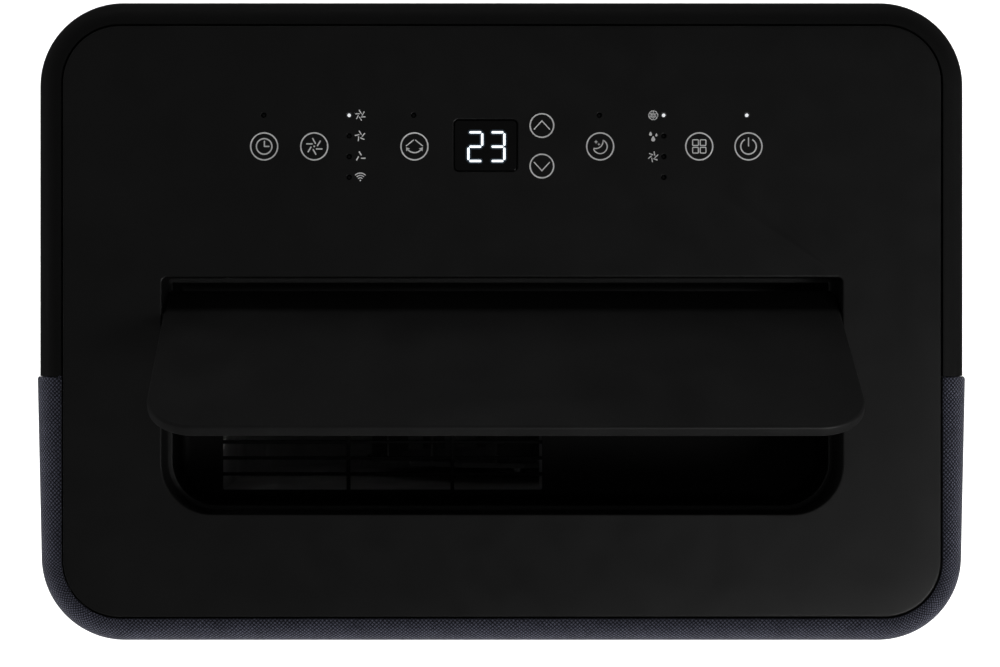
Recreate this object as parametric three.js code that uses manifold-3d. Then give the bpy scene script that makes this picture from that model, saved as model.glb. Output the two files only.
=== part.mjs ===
// A portable air conditioner on four casters, as an assembly of its separate pieces.
// Millimetres, +Z up. The front (the fabric side) faces -Y, and +X is to the right of somebody who
// stands in front of it. The origin is on the floor, under the middle of the casing.

import * as THREE from "three";
import { mergeVertices } from "three/addons/utils/BufferGeometryUtils.js";
import Module from "manifold-3d";

const wasm = await Module();
wasm.setup();

// ---------------------------------------------------------------- driving dimensions

const GAP = 0.3; // between pieces that touch
const WALL = 3; // moulded casing wall

const TOP = 700; // surface of the top panel
const PLINTH = { low: 44, high: 66 }; // the base pan's underside and its rim
const CASE = { halfWidth: 220, halfDepth: 152, corner: 40 };
const SPLIT_Y = -26; // where the front casing meets the rear casing
const FRONT_FLARE = 1.3; // the fabric stands this far out of the rear casing at the split
const FRONT_TAPER = 1.9; // and narrows by this much to the front corners
const FABRIC = 1.2; // cloth and its backing

const RIM = { width: 11.5, drop: 13, top: 698.6 }; // rounded shoulder round the top panel
const PANEL = { halfWidth: 207.1, halfDepth: 139.4, corner: 27, thick: 3.5 };
const PANEL_LEDGE = { width: 4, top: 692 }; // step of the casing that the panel rests on
const SEAM = 0.8; // shadow gap between top panel and casing

const OUTLET = { halfWidth: 160.4, front: -90.7, rear: 20.8, frontCorner: 23.6, rearCorner: 2.5 };
const SKIRT = { low: 676, sheet: 2.5 }; // wall that hangs from the panel round the outlet
const TRAY = { floor: 640, sheet: 2.5, ledge: 2 }; // its top edge shows as a ledge in the skirt
const GRILLE = { left: -138, right: 22, front: -84, rear: 8, depth: 4.5 };
const GRILLE_MULLIONS = [-75, -23]; // the two uprights of the outlet grille
const GRILLE_PITCH = 8;

const FLAP = { axisY: 2.1, axisZ: 696.5, tail: 18, thick: 5.5, gap: 0.8, open: 56 };
const PIN = { radius: 1.8, clearance: 0.4 }; // the flap's own hinge pins
// The flap is driven by a crank below it, through a link that stays upright: the lever on the
// flap, the link and the crank are a parallelogram, so crank and flap turn by the same angle.
const DRIVE = {
  arm: 10, // length of the flap's lever and of the crank
  rise: 32, // length of the link
  lean: 21, // how far the lever leans forward of straight down, at rest
  pin: 1.5,
  leverX: [-166, -163.5],
  linkX: [-168.8, -166.4],
  crankX: [-171.6, -169.2],
  motorFace: -172,
};

const DISPLAY = { x: -7.7, y: 82.9, width: 30.2, height: 24.6, corner: 2.4 };
// Indicator lamps: one over each of four touch fields, and a column of four on either side.
const LAMP_RADIUS = 1.25;
const LAMP_TOP = 97.2;
const LAMP_PITCH = 9.75;
const LAMPS = [
  ...[-112.3, -41.7, 45.8, 115.4].map((x) => [x, LAMP_TOP]),
  ...[-72.1, 76.2].flatMap((x) => [0, 1, 2, 3].map((row) => [x, LAMP_TOP - row * LAMP_PITCH])),
];

const DECK = { low: 352, thick: 5, rim: 372 }; // partition between the cold and the hot side
const COLD_FAN = { x: 15, z: 510, radius: 85, tongue: 92, end: 153, mouthX: 22, mouthZ: 634.9 };
const COLD_BOX = { front: -84, rear: 8 }; // depth of the cold scroll, inside
const HOT_FAN = { x: 75, z: 150, radius: 60, tongue: 66, end: 105, mouthX: 82, mouthZ: 240 };
const HOT_BOX = { front: -50, rear: 30 };
const SHEET = 2.5; // wall of scrolls, duct and tray

const UPPER_WINDOW = { halfWidth: 150, low: 395, high: 640 };
const LOWER_WINDOW = { halfWidth: 150, low: 84, high: 206 };
const PORT = { x: 25, z: 285, inner: 58, outer: 62.5, flange: 66 };
const DRAIN = { x: -120, upperZ: 362, lowerZ: 57, bore: 5, shank: 4.6, head: 7 };
const GLAND = { x: 166, z: 235 };

const GRIP = { y: 38, length: 108, z: 560, height: 36, depth: 24 };
const CASTER = { x: 182, y: 110, wheel: 18, width: 14, trail: 12, axle: 2.5, stem: 4 };
const COMPRESSOR = { x: -125, y: -45, radius: 55, low: 69, high: 268, footCircle: 70 };
const ACCUMULATOR = { x: -165, y: 38, radius: 22, low: 130, high: 250 };
const SPLASHER = { x: 173, y: 60, z: 80, radius: 24 };

const ROUND = 16; // sides of a plain cylinder
const CORNER_STEPS = 3; // half the chords in a rounded corner

// ---------------------------------------------------------------- materials

const finish = (color, roughness, metalness = 0) =>
  new THREE.MeshStandardMaterial({ color, roughness, metalness });

const BLACK_PLASTIC = finish(0x121212, 0.5);
const DEEP_BLACK = finish(0x080808, 0.6);
const CLOTH = finish(0x3a3b43, 0.95);
const SMOKED = finish(0x050505, 0.1);
const WHITE_PLASTIC = finish(0xd8d8d4, 0.55);
const GREY_PLASTIC = finish(0x6b6e70, 0.6);
const BOARD_GREEN = finish(0x1d4a30, 0.5);
const STEEL = finish(0x9a9da0, 0.4, 0.9);
const ZINC = finish(0xb0b2b4, 0.35, 0.9);
const ALUMINIUM = finish(0xc4c7ca, 0.4, 0.9);
const COPPER = finish(0xb46a3c, 0.35, 0.9);
const ENAMEL = finish(0x161616, 0.35, 0.3);
const RUBBER = finish(0x1c1c1c, 0.85);
const FILTER_GREY = finish(0x4a4f55, 0.8);

// ---------------------------------------------------------------- solids

// A closed three.js geometry as a solid that can be cut and joined.
function solid(geometry) {
  const bare = geometry.clone();
  bare.deleteAttribute("normal");
  bare.deleteAttribute("uv");
  const merged = mergeVertices(bare, 1e-4);
  return new wasm.Manifold(
    new wasm.Mesh({
      numProp: 3,
      vertProperties: merged.attributes.position.array,
      triVerts: new Uint32Array(merged.index.array),
    }),
  );
}

// A solid back as a geometry that a mesh can hold.
function geometryOf(shape) {
  const mesh = shape.getMesh();
  const geometry = new THREE.BufferGeometry();
  geometry.setAttribute("position", new THREE.BufferAttribute(mesh.vertProperties, 3));
  geometry.setIndex(new THREE.BufferAttribute(mesh.triVerts, 1));
  geometry.computeVertexNormals();
  return geometry;
}

const join = (first, ...others) => others.reduce((all, next) => all.add(next), first);
const cut = (base, ...tools) => tools.reduce((rest, tool) => rest.subtract(tool), base);

function block([x0, x1], [y0, y1], [z0, z1]) {
  const box = new THREE.BoxGeometry(x1 - x0, y1 - y0, z1 - z0);
  return solid(box.translate((x0 + x1) / 2, (y0 + y1) / 2, (z0 + z1) / 2));
}

// A cylinder along one axis, from one place on it to another. centre gives the other two.
function rod(axis, centre, radius, from, to, sides = ROUND) {
  const geometry = new THREE.CylinderGeometry(radius, radius, to - from, sides);
  geometry.rotateY(Math.PI / sides); // a flat of the cylinder faces along each axis
  const middle = (from + to) / 2;
  if (axis === "x") geometry.rotateZ(-Math.PI / 2).translate(middle, centre[0], centre[1]);
  if (axis === "y") geometry.translate(centre[0], middle, centre[1]);
  if (axis === "z") geometry.rotateX(Math.PI / 2).translate(centre[0], centre[1], middle);
  return solid(geometry);
}

const tube = (axis, centre, outer, inner, from, to, sides = ROUND) =>
  cut(rod(axis, centre, outer, from, to, sides), rod(axis, centre, inner, from - 1, to + 1, sides));

// An outline in X and Y, drawn up from z0 to z1.
function prism(shape, z0, z1) {
  const options = { depth: z1 - z0, bevelEnabled: false, curveSegments: CORNER_STEPS };
  return solid(new THREE.ExtrudeGeometry(shape, options).translate(0, 0, z0));
}

// An outline in X and Z, drawn back from y0 to y1.
function wallPrism(shape, y0, y1) {
  const options = { depth: y1 - y0, bevelEnabled: false, curveSegments: CORNER_STEPS };
  return solid(new THREE.ExtrudeGeometry(shape, options).rotateX(Math.PI / 2).translate(0, y1, 0));
}

// An outline drawn up from z0 to z1 whose top edge rolls over in a quarter ellipse.
function domedPrism(shape, z0, z1, width, drop, steps) {
  const geometry = new THREE.ExtrudeGeometry(shape, {
    depth: z1 - drop - z0,
    bevelThickness: drop,
    bevelSize: width,
    bevelOffset: -width,
    bevelSegments: steps,
    curveSegments: CORNER_STEPS,
  });
  const below = block([-500, 500], [-500, 500], [z0 - 100, z0]);
  return cut(solid(geometry.translate(0, 0, z0)), below);
}

// A body of revolution about the local Z axis from [radius, height] points.
function turned(profile, sides = ROUND) {
  const points = profile.map(([radius, height]) => new THREE.Vector2(radius, height));
  return solid(new THREE.LatheGeometry(points, sides).rotateX(Math.PI / 2));
}

// A round pipe along a smooth curve through the given points.
function pipe(points, radius, steps) {
  const route = new THREE.CatmullRomCurve3(points.map((p) => new THREE.Vector3(...p)));
  const section = new THREE.Shape().absarc(0, 0, radius, 0, 2 * Math.PI);
  const options = { extrudePath: route, steps, curveSegments: 3, bevelEnabled: false };
  return solid(new THREE.ExtrudeGeometry(section, options));
}

// ---------------------------------------------------------------- outlines

function roundedOutline(halfWidth, front, rear, frontCorner, rearCorner = frontCorner) {
  const shape = new THREE.Shape();
  shape.moveTo(-halfWidth, rear - rearCorner);
  shape.lineTo(-halfWidth, front + frontCorner);
  shape.absarc(-halfWidth + frontCorner, front + frontCorner, frontCorner, Math.PI, 1.5 * Math.PI);
  shape.lineTo(halfWidth - frontCorner, front);
  shape.absarc(halfWidth - frontCorner, front + frontCorner, frontCorner, -Math.PI / 2, 0);
  shape.lineTo(halfWidth, rear - rearCorner);
  shape.absarc(halfWidth - rearCorner, rear - rearCorner, rearCorner, 0, Math.PI / 2);
  shape.lineTo(-halfWidth + rearCorner, rear);
  shape.absarc(-halfWidth + rearCorner, rear - rearCorner, rearCorner, Math.PI / 2, Math.PI);
  return shape;
}

// The casing's plan, drawn in by inset.
const casePlan = (inset) =>
  roundedOutline(
    CASE.halfWidth - inset,
    -CASE.halfDepth + inset,
    CASE.halfDepth - inset,
    CASE.corner - inset,
  );

// The plan of the fabric side, which tapers a little to the front. It runs on behind the split.
function frontPlan(inset) {
  const wide = CASE.halfWidth + FRONT_FLARE - inset;
  const narrow = CASE.halfWidth + FRONT_FLARE - FRONT_TAPER - inset;
  const front = -CASE.halfDepth + inset;
  const corner = CASE.corner - inset;
  const back = SPLIT_Y + 20;
  const shape = new THREE.Shape();
  shape.moveTo(-wide, back);
  shape.lineTo(-wide, SPLIT_Y);
  shape.lineTo(-narrow, front + corner);
  shape.absarc(-narrow + corner, front + corner, corner, Math.PI, 1.5 * Math.PI);
  shape.lineTo(narrow - corner, front);
  shape.absarc(narrow - corner, front + corner, corner, -Math.PI / 2, 0);
  shape.lineTo(wide, SPLIT_Y);
  shape.lineTo(wide, back);
  return shape;
}

const panelPlan = (grow) =>
  roundedOutline(
    PANEL.halfWidth + grow,
    -PANEL.halfDepth - grow,
    PANEL.halfDepth + grow,
    PANEL.corner + grow,
  );

const outletPlan = (grow) =>
  roundedOutline(
    OUTLET.halfWidth + grow,
    OUTLET.front - grow,
    OUTLET.rear + grow,
    OUTLET.frontCorner + grow,
    OUTLET.rearCorner + grow,
  );

// A fan scroll in X and Z: a spiral that opens clockwise from its tongue, then a straight mouth.
function scrollOutline(fan, grow, mouthZ = fan.mouthZ) {
  const start = Math.asin((fan.mouthX + grow - fan.x) / (fan.tongue + grow));
  const turns = 1.5 * Math.PI;
  const steps = 18;
  const points = [];
  for (let i = 0; i <= steps; i += 1) {
    const phi = start + ((turns - start) * i) / steps;
    const radius = fan.tongue + ((fan.end - fan.tongue) * phi) / turns + grow;
    const x = fan.x + radius * Math.sin(phi);
    points.push(new THREE.Vector2(x, fan.z + radius * Math.cos(phi)));
  }
  points.push(new THREE.Vector2(fan.x - fan.end - grow, mouthZ));
  points.push(new THREE.Vector2(fan.mouthX + grow, mouthZ));
  return new THREE.Shape(points.reverse());
}

// ---------------------------------------------------------------- casing

const behindSplit = () => block([-300, 300], [SPLIT_Y - GAP / 2, 300], [0, 900]);
const beforeSplit = () => block([-300, 300], [-300, SPLIT_Y + GAP / 2], [0, 900]);
const panelRecess = () =>
  join(
    prism(panelPlan(SEAM), PANEL_LEDGE.top, TOP + 20),
    prism(panelPlan(-PANEL_LEDGE.width), 600, TOP),
  );

function basePan() {
  const wall = 6;
  const floor = PLINTH.low + wall;
  const centre = [DRAIN.x, DRAIN.lowerZ];
  const rear = CASE.halfDepth;
  const sockets = casterPlaces().map(([x, y]) => rod("z", [x, y], 9, floor - 1, floor + 8, 10));
  const stemHoles = casterPlaces().map(([x, y]) =>
    rod("z", [x, y], CASTER.stem + 0.4, PLINTH.low - 1, floor + 6, 12),
  );
  const pan = cut(
    prism(casePlan(0), PLINTH.low, PLINTH.high),
    prism(casePlan(wall), floor, PLINTH.high + 1),
  );
  return cut(
    join(pan, ...sockets),
    ...stemHoles,
    rod("y", centre, DRAIN.bore, rear - wall - 1, rear + 1),
    rod("y", centre, DRAIN.head + 0.5, rear - GAP - 3, rear + 1),
  );
}

function rearShell() {
  const low = PLINTH.high + GAP;
  const rear = CASE.halfDepth;
  const through = [rear - 2 * WALL, rear + 1];
  const window = ({ halfWidth, low: z0, high: z1 }) =>
    block([-halfWidth, halfWidth], through, [z0, z1]);
  const gripSlot = block(
    [-300, 300],
    [GRIP.y - GRIP.length / 2, GRIP.y + GRIP.length / 2],
    [GRIP.z - GRIP.height / 2, GRIP.z + GRIP.height / 2],
  );
  return cut(
    domedPrism(casePlan(0), low, RIM.top, RIM.width, RIM.drop, 4),
    prism(casePlan(WALL), low - 1, RIM.top - RIM.drop + 2),
    panelRecess(),
    beforeSplit(),
    window(UPPER_WINDOW),
    window(LOWER_WINDOW),
    rod("y", [PORT.x, PORT.z], PORT.outer + 0.8, ...through, 28),
    rod("y", [DRAIN.x, DRAIN.upperZ], 10, ...through, 16),
    rod("y", [GLAND.x, GLAND.z], 7.8, ...through, 16),
    gripSlot,
  );
}

// Front casing and fabric are nested domes: the inset of one is the other's outside, less a gap.
function frontDome(inset, low) {
  return domedPrism(frontPlan(inset), low, RIM.top - inset, RIM.width, RIM.drop, 4);
}

function frontShell() {
  const low = PLINTH.high + GAP;
  const outside = FABRIC + GAP;
  return cut(
    frontDome(outside, low),
    prism(frontPlan(outside + WALL), low - 1, RIM.top - RIM.drop + 1),
    panelRecess(),
    behindSplit(),
  );
}

function frontFabric() {
  const low = PLINTH.high + GAP;
  return cut(frontDome(0, low), frontDome(FABRIC, low - 20), panelRecess(), behindSplit());
}

function gripCup(side) {
  const sheet = 2;
  const face = CASE.halfWidth - 0.2;
  const box = (grow, depth, mouth) =>
    block(
      side > 0 ? [face - depth, face + mouth] : [-face - mouth, -face + depth],
      [GRIP.y - GRIP.length / 2 + grow, GRIP.y + GRIP.length / 2 - grow],
      [GRIP.z - GRIP.height / 2 + grow, GRIP.z + GRIP.height / 2 - grow],
    );
  return cut(box(GAP, GRIP.depth, 0), box(GAP + sheet, GRIP.depth - sheet, 1));
}

// ---------------------------------------------------------------- top

// The panel: a plate with rolled edges, a lip that rests on the casing, and the outlet's skirt with
// a slot on each side that the flap's pins drop into from below.
function topPanel() {
  const under = TOP - PANEL.thick;
  const plate = domedPrism(panelPlan(0), under, TOP, 5, 1.4, 2);
  const lip = cut(
    prism(panelPlan(0), PANEL_LEDGE.top + GAP, under + 1),
    prism(panelPlan(-2), PANEL_LEDGE.top - 1, under),
  );
  const skirt = prism(outletPlan(SKIRT.sheet), SKIRT.low, under + 1);
  const window = roundedOutline(
    DISPLAY.width / 2,
    -DISPLAY.height / 2,
    DISPLAY.height / 2,
    DISPLAY.corner,
  );
  const hole = PIN.radius + PIN.clearance;
  const seat = (x) => rod("x", [FLAP.axisY, FLAP.axisZ], hole, x[0], x[1], 12);
  const slot = (x) => block(x, [FLAP.axisY - hole, FLAP.axisY + hole], [SKIRT.low - 1, FLAP.axisZ]);
  const left = [-OUTLET.halfWidth - SKIRT.sheet - 0.4, -OUTLET.halfWidth + 1];
  const right = [OUTLET.halfWidth - 1, OUTLET.halfWidth + SKIRT.sheet + 1];
  const leverPocket = block(
    [DRIVE.leverX[0] - 0.4, DRIVE.leverX[1] + 0.4],
    [FLAP.axisY - 4, FLAP.axisY + 4],
    [under - 1, FLAP.axisZ + hole + 0.1],
  );
  return cut(
    join(plate, lip, skirt),
    prism(outletPlan(0), SKIRT.low - 1, TOP + 1),
    prism(window, under - 1, TOP + 1).translate([DISPLAY.x, DISPLAY.y, 0]),
    ...LAMPS.map((place) => rod("z", place, LAMP_RADIUS, under - 1, TOP + 1, 6)),
    ...[left, right].flatMap((x) => [seat(x), slot(x)]),
    leverPocket,
  );
}

function displayLens() {
  const inset = GAP;
  const shape = roundedOutline(
    DISPLAY.width / 2 - inset,
    -DISPLAY.height / 2 + inset,
    DISPLAY.height / 2 - inset,
    DISPLAY.corner - inset,
  );
  return prism(shape, TOP - PANEL.thick, TOP - 0.8).translate([DISPLAY.x, DISPLAY.y, 0]);
}

const BOARD = { low: 683, thick: 1.6 };

function displayModule() {
  const x = [DISPLAY.x - 14.5, DISPLAY.x + 14.5];
  const y = [DISPLAY.y - 11.5, DISPLAY.y + 11.5];
  return block(x, y, [BOARD.low + BOARD.thick + GAP, TOP - PANEL.thick - GAP]);
}

function controlBoard() {
  return block([-125, 128], [58, 104], [BOARD.low, BOARD.low + BOARD.thick]);
}

// The duct liner under the outlet: walls whose top edge is a ledge inside the skirt, a floor with a
// mouth for the grille, and two posts that close the skirt's slots under the flap's pins.
function outletTray() {
  const { floor, sheet, ledge } = TRAY;
  const high = SKIRT.low - GAP;
  const walls = cut(
    prism(outletPlan(sheet - ledge), floor, high),
    prism(outletPlan(-ledge), floor + sheet, high + 1),
    block([GRILLE.left, GRILLE.right], [GRILLE.front, GRILLE.rear], [floor - 1, floor + sheet + 1]),
  );
  const halfSlot = PIN.radius + PIN.clearance - GAP;
  const posts = [-1, 1].map((side) => {
    const x = [OUTLET.halfWidth + 0.1, OUTLET.halfWidth + SKIRT.sheet - 0.1];
    const y = [FLAP.axisY - halfSlot, FLAP.axisY + halfSlot];
    const z = [high - 8, FLAP.axisZ - PIN.radius - GAP];
    return side > 0 ? block(x, y, z) : block([-x[1], -x[0]], y, z);
  });
  return join(walls, ...posts);
}

function outletGrille() {
  const top = TRAY.floor - GAP;
  const z = [top - GRILLE.depth, top];
  const frame = cut(
    block([GRILLE.left - 3, GRILLE.right + 3], [GRILLE.front - 3, GRILLE.rear + 3], z),
    block([GRILLE.left, GRILLE.right], [GRILLE.front, GRILLE.rear], [z[0] - 1, z[1] + 1]),
  );
  const uprights = GRILLE_MULLIONS.map((x) =>
    block([x - 0.9, x + 0.9], [GRILLE.front - 1, GRILLE.rear + 1], z),
  );
  const count = Math.round((GRILLE.rear - GRILLE.front) / GRILLE_PITCH) - 1;
  const bars = Array.from({ length: count }, (_, i) => {
    const y = GRILLE.front + (i + 1) * GRILLE_PITCH;
    return block([GRILLE.left - 1, GRILLE.right + 1], [y - 0.8, y + 0.8], [z[0] + 1, z[1] - 0.5]);
  });
  return join(frame, ...uprights, ...bars);
}

// The flap about its own axis, lying closed: the plate is round the axis and the front is at -Y.
function outletFlap() {
  const halfWidth = OUTLET.halfWidth - FLAP.gap;
  const rise = TOP - FLAP.axisZ;
  const under = rise - FLAP.thick;
  const front = OUTLET.front + FLAP.gap - FLAP.axisY;
  const plan = roundedOutline(halfWidth, front, FLAP.tail, OUTLET.frontCorner - FLAP.gap, 2);
  const plate = domedPrism(plan, under, rise, 1.2, 1.2, 1);
  const right = [OUTLET.halfWidth - 4, OUTLET.halfWidth + SKIRT.sheet + 0.5];
  const pins = [right, [DRIVE.leverX[0], 4 - OUTLET.halfWidth]].map((x) =>
    rod("x", [0, 0], PIN.radius, ...x, 12),
  );
  const ribs = [-90, -30, 30, 90].map((x) =>
    block([x - 1, x + 1], [front + 14, 3], [under - 2.5, under + 1]),
  );
  // The lever swings with the flap, so it is turned on from its lean at rest to the closed flap.
  const lean = THREE.MathUtils.degToRad(FLAP.open - DRIVE.lean);
  const tip = [DRIVE.arm * Math.sin(lean), -DRIVE.arm * Math.cos(lean)];
  const bar = new THREE.BoxGeometry(DRIVE.leverX[1] - DRIVE.leverX[0], 2 * PIN.radius, DRIVE.arm);
  const middleX = (DRIVE.leverX[0] + DRIVE.leverX[1]) / 2;
  const lever = solid(bar.translate(0, 0, -DRIVE.arm / 2).rotateX(lean).translate(middleX, 0, 0));
  return join(
    plate,
    ...pins,
    ...ribs,
    lever,
    rod("x", tip, 2.6, ...DRIVE.leverX, 12),
    rod("x", tip, DRIVE.pin, DRIVE.linkX[0], DRIVE.leverX[1], 12),
  );
}

// The upright link, from the crank's pin at its own origin up to the lever's pin.
function flapLink() {
  const eye = (z) => rod("x", [0, z], 4, ...DRIVE.linkX, 16);
  const hole = (z) =>
    rod("x", [0, z], DRIVE.pin + 0.4, DRIVE.linkX[0] - 1, DRIVE.linkX[1] + 1, 16);
  return cut(
    join(eye(0), eye(DRIVE.rise), block(DRIVE.linkX, [-2, 2], [0, DRIVE.rise])),
    hole(0),
    hole(DRIVE.rise),
  );
}

// The crank about its own shaft, standing straight down, with the shaft that the motor turns.
function flapCrank() {
  const tip = [0, -DRIVE.arm];
  return join(
    rod("x", [0, 0], 4, ...DRIVE.crankX, 16),
    rod("x", tip, 2.8, ...DRIVE.crankX, 12),
    block(DRIVE.crankX, [-2.2, 2.2], [-DRIVE.arm, 0]),
    rod("x", tip, DRIVE.pin, DRIVE.crankX[1] - 1, DRIVE.linkX[1], 12),
    rod("x", [0, 0], 1.5, DRIVE.motorFace - 8, DRIVE.crankX[0] + 1, 12),
  );
}

// A small geared stepper motor. Its shaft hole, at its own origin, is above the middle of its can.
function flapMotor() {
  const face = DRIVE.motorFace;
  return cut(
    join(
      rod("x", [0, -8], 14, face - 18, face - 1),
      rod("x", [0, 0], 4.5, face - 3, face, 16),
      block([face - 2.5, face - 1], [-21, 21], [-12, -4]),
    ),
    rod("x", [0, 0], 1.8, face - 9, face + 1, 12),
  );
}

// ---------------------------------------------------------------- rear grilles and fittings

// A removable louvred frame in the XZ plane that fills a window of the rear casing.
function intakeGrille({ halfWidth, low, high }) {
  const x = halfWidth - 0.4;
  const z = [low + 0.4, high - 0.4];
  const y = [CASE.halfDepth - 8, CASE.halfDepth - 0.4];
  const rail = 8;
  const pitch = 20;
  const frame = cut(
    block([-x, x], y, z),
    block([-x + rail, x - rail], [y[0] - 1, y[1] + 1], [z[0] + rail, z[1] - rail]),
  );
  const upright = block([-1.5, 1.5], [y[0], y[1] - 1.5], [z[0] + 1, z[1] - 1]);
  const clear = z[1] - z[0] - 2 * rail;
  const count = Math.floor(clear / pitch);
  const slats = Array.from({ length: count }, (_, i) => {
    const middle = z[0] + rail + (clear * (i + 0.5)) / count;
    return block([-x + 1, x - 1], [y[0] + 1.5, y[1] - 0.6], [middle - 1.5, middle + 1.5]);
  });
  const tab = block([-18, 18], [y[0] + 1, y[1]], [z[1] - rail - 6, z[1] - rail + 1]);
  return join(frame, upright, ...slats, tab);
}

// A washable air filter: a stiff frame with a thin mesh held between its ribs.
function airFilter({ halfWidth, low, high }) {
  const x = halfWidth - 3;
  const z = [low + 3, high - 3];
  const rear = CASE.halfDepth - 8 - GAP;
  const y = [rear - 4.5, rear];
  const frame = cut(
    block([-x, x], y, z),
    block([-x + 6, x - 6], [y[0] - 1, y[1] + 1], [z[0] + 6, z[1] - 6]),
  );
  const mesh = block([-x + 5, x - 5], [y[0] + 1.8, y[0] + 2.6], [z[0] + 5, z[1] - 5]);
  const ribs = [-1, 0, 1].map((i) => {
    const middle = (i * x) / 2;
    return block([middle - 1.2, middle + 1.2], [y[0] + 1, y[1] - 1], [z[0] + 1, z[1] - 1]);
  });
  return join(frame, mesh, ...ribs);
}

// The collar that takes the hose adapter, with a finger guard of bars across its bottom.
function exhaustCollar() {
  const centre = [PORT.x, PORT.z];
  const rear = CASE.halfDepth - 0.3;
  const guard = [rear - 26, rear - 23];
  const bars = [-30, 0, 30].flatMap((offset) => {
    const reach = Math.sqrt(PORT.inner ** 2 - offset ** 2) + 1;
    const x = PORT.x + offset;
    return [block([x - 1.2, x + 1.2], guard, [PORT.z - reach, PORT.z + reach])];
  });
  return join(
    tube("y", centre, PORT.outer, PORT.inner, rear - 26, rear, 28),
    tube("y", centre, PORT.flange, PORT.inner, rear - 8, rear - WALL - 1, 28),
    block([PORT.x - PORT.inner - 1, PORT.x + PORT.inner + 1], guard, [PORT.z - 1.2, PORT.z + 1.2]),
    ...bars,
  );
}

function drainPlug(z) {
  const centre = [DRAIN.x, z];
  const rear = CASE.halfDepth;
  return join(
    rod("y", centre, DRAIN.head, rear - 3, rear - 0.4, 16),
    rod("y", centre, DRAIN.shank, rear - 9, rear - 2, 16),
    block([DRAIN.x - 1.5, DRAIN.x + 1.5], [rear - 3, rear - 0.2], [z - 6, z + 6]),
  );
}

function cordGland() {
  const centre = [GLAND.x, GLAND.z];
  const rear = CASE.halfDepth;
  return cut(
    join(
      rod("y", centre, 7.3, rear - 9, rear - 0.2, 16),
      rod("y", centre, 10.5, rear - 9, rear - WALL - GAP, 16),
    ),
    rod("y", centre, 3.8, rear - 10, rear + 1, 16),
  );
}

// ---------------------------------------------------------------- cold side

// A heat exchanger: a pack of fins with end plates, and return bends out of one end.
function coil([x0, x1], [y0, y1], [z0, z1], bends) {
  const plates = [
    block([x0 - 1.5, x0 + 1], [y0 - 3, y1 + 3], [z0 - 3, z1 + 3]),
    block([x1 - 1, x1 + 1.5], [y0 - 3, y1 + 3], [z0 - 3, z1 + 3]),
  ];
  const y = (y0 + y1) / 2;
  const rise = (z1 - z0) / (2 * bends);
  const returns = Array.from({ length: bends }, (_, i) => {
    const z = z0 + rise * (2 * i + 1);
    const arc = [0, 0.5, 1].map((t) => [
      x1 + 10 * Math.sin(Math.PI * t),
      y,
      z - (rise / 2) * Math.cos(Math.PI * t),
    ]);
    return pipe(arc, 3.5, 4);
  });
  return join(block([x0, x1], [y0, y1], [z0, z1]), ...plates, ...returns);
}

// A scroll casing that is open at the rear, where its inlet ring closes it, and at its mouth.
function scroll(fan, box, shaft) {
  const outside = scrollOutline(fan, SHEET);
  const inside = scrollOutline(fan, 0, fan.mouthZ + 10);
  return cut(
    wallPrism(outside, box.front - SHEET, box.rear),
    wallPrism(inside, box.front, box.rear + 1),
    rod("y", [fan.x, fan.z], shaft, box.front - SHEET - 1, box.front + 1),
  );
}

function inletRing(fan, box) {
  const y = [box.rear + GAP, box.rear + GAP + SHEET];
  const centre = [fan.x, fan.z];
  const eye = fan.radius * 0.82;
  return cut(
    join(
      wallPrism(scrollOutline(fan, SHEET), ...y),
      rod("y", centre, eye + 5, y[0], y[1] + 6, 24),
    ),
    rod("y", centre, eye, y[0] - 1, y[1] + 7, 24),
  );
}

// A forward-curved blower wheel about its own Z axis. Its back plate is at z = 0.
function blowerWheel(radius, width, blades) {
  const root = radius - 14;
  const hub = turned(
    [
      [4.5, 16],
      [4.5, 0],
      [radius, 0],
      [radius, 2.5],
      [16, 2.5],
      [13, 16],
      [4.5, 16],
    ],
    ROUND,
  );
  const ring = cut(
    rod("z", [0, 0], radius, width - 4, width),
    rod("z", [0, 0], radius - 5, width - 5, width + 1),
  );
  const lean = THREE.MathUtils.degToRad(32);
  const vanes = Array.from({ length: blades }, (_, i) => {
    const blade = new THREE.BoxGeometry(13, 1.2, width - 3);
    blade.rotateZ(lean).translate((root + radius) / 2 - 1.5, 0, width / 2);
    return solid(blade.rotateZ((i * 2 * Math.PI) / blades));
  });
  return join(hub, ring, ...vanes);
}

// A fan motor on the front of a scroll, its shaft passing back into the wheel's hub.
function fanMotor(fan, box, radius, length) {
  const face = box.front - SHEET - GAP;
  const centre = [fan.x, fan.z];
  return join(
    rod("y", centre, radius, face - length, face - 3),
    rod("y", centre, radius * 0.55, face - length - 6, face),
    block(
      [fan.x - radius - 12, fan.x + radius + 12],
      [face - 3, face],
      [fan.z - 9, fan.z + 9],
    ),
    rod("y", centre, 4, face - 1, face + 32, 16),
  );
}

// The partition: a drip tray under the evaporator, with a drain spout that reaches the rear.
function midDeck() {
  const inset = WALL + 3.5;
  const top = DECK.low + DECK.thick;
  const rear = CASE.halfDepth;
  const spout = tube("y", [DRAIN.x, DRAIN.upperZ], 9, DRAIN.bore, rear - 12, rear - 3.4, 16);
  return cut(
    join(
      cut(
        prism(casePlan(inset), DECK.low, DECK.rim),
        prism(casePlan(inset + 2.5), top, DECK.rim + 1),
        rod("y", [DRAIN.x, DRAIN.upperZ], 9, rear - 14, rear, 16),
      ),
      spout,
    ),
    rod("z", [-190, 60], 8, DECK.low - 1, DECK.rim, 12),
    rod("z", [-190, 100], 6, DECK.low - 1, DECK.rim, 12),
  );
}

function electricalBox() {
  const x = [82, 200];
  const y = [-140, -95];
  const z = [385, 560];
  return cut(
    block(x, y, z),
    block([x[0] + 2, x[1] - 2], [y[0] - 1, y[1] - 2], [z[0] + 2, z[1] - 2]),
  );
}

// ---------------------------------------------------------------- hot side

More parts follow.
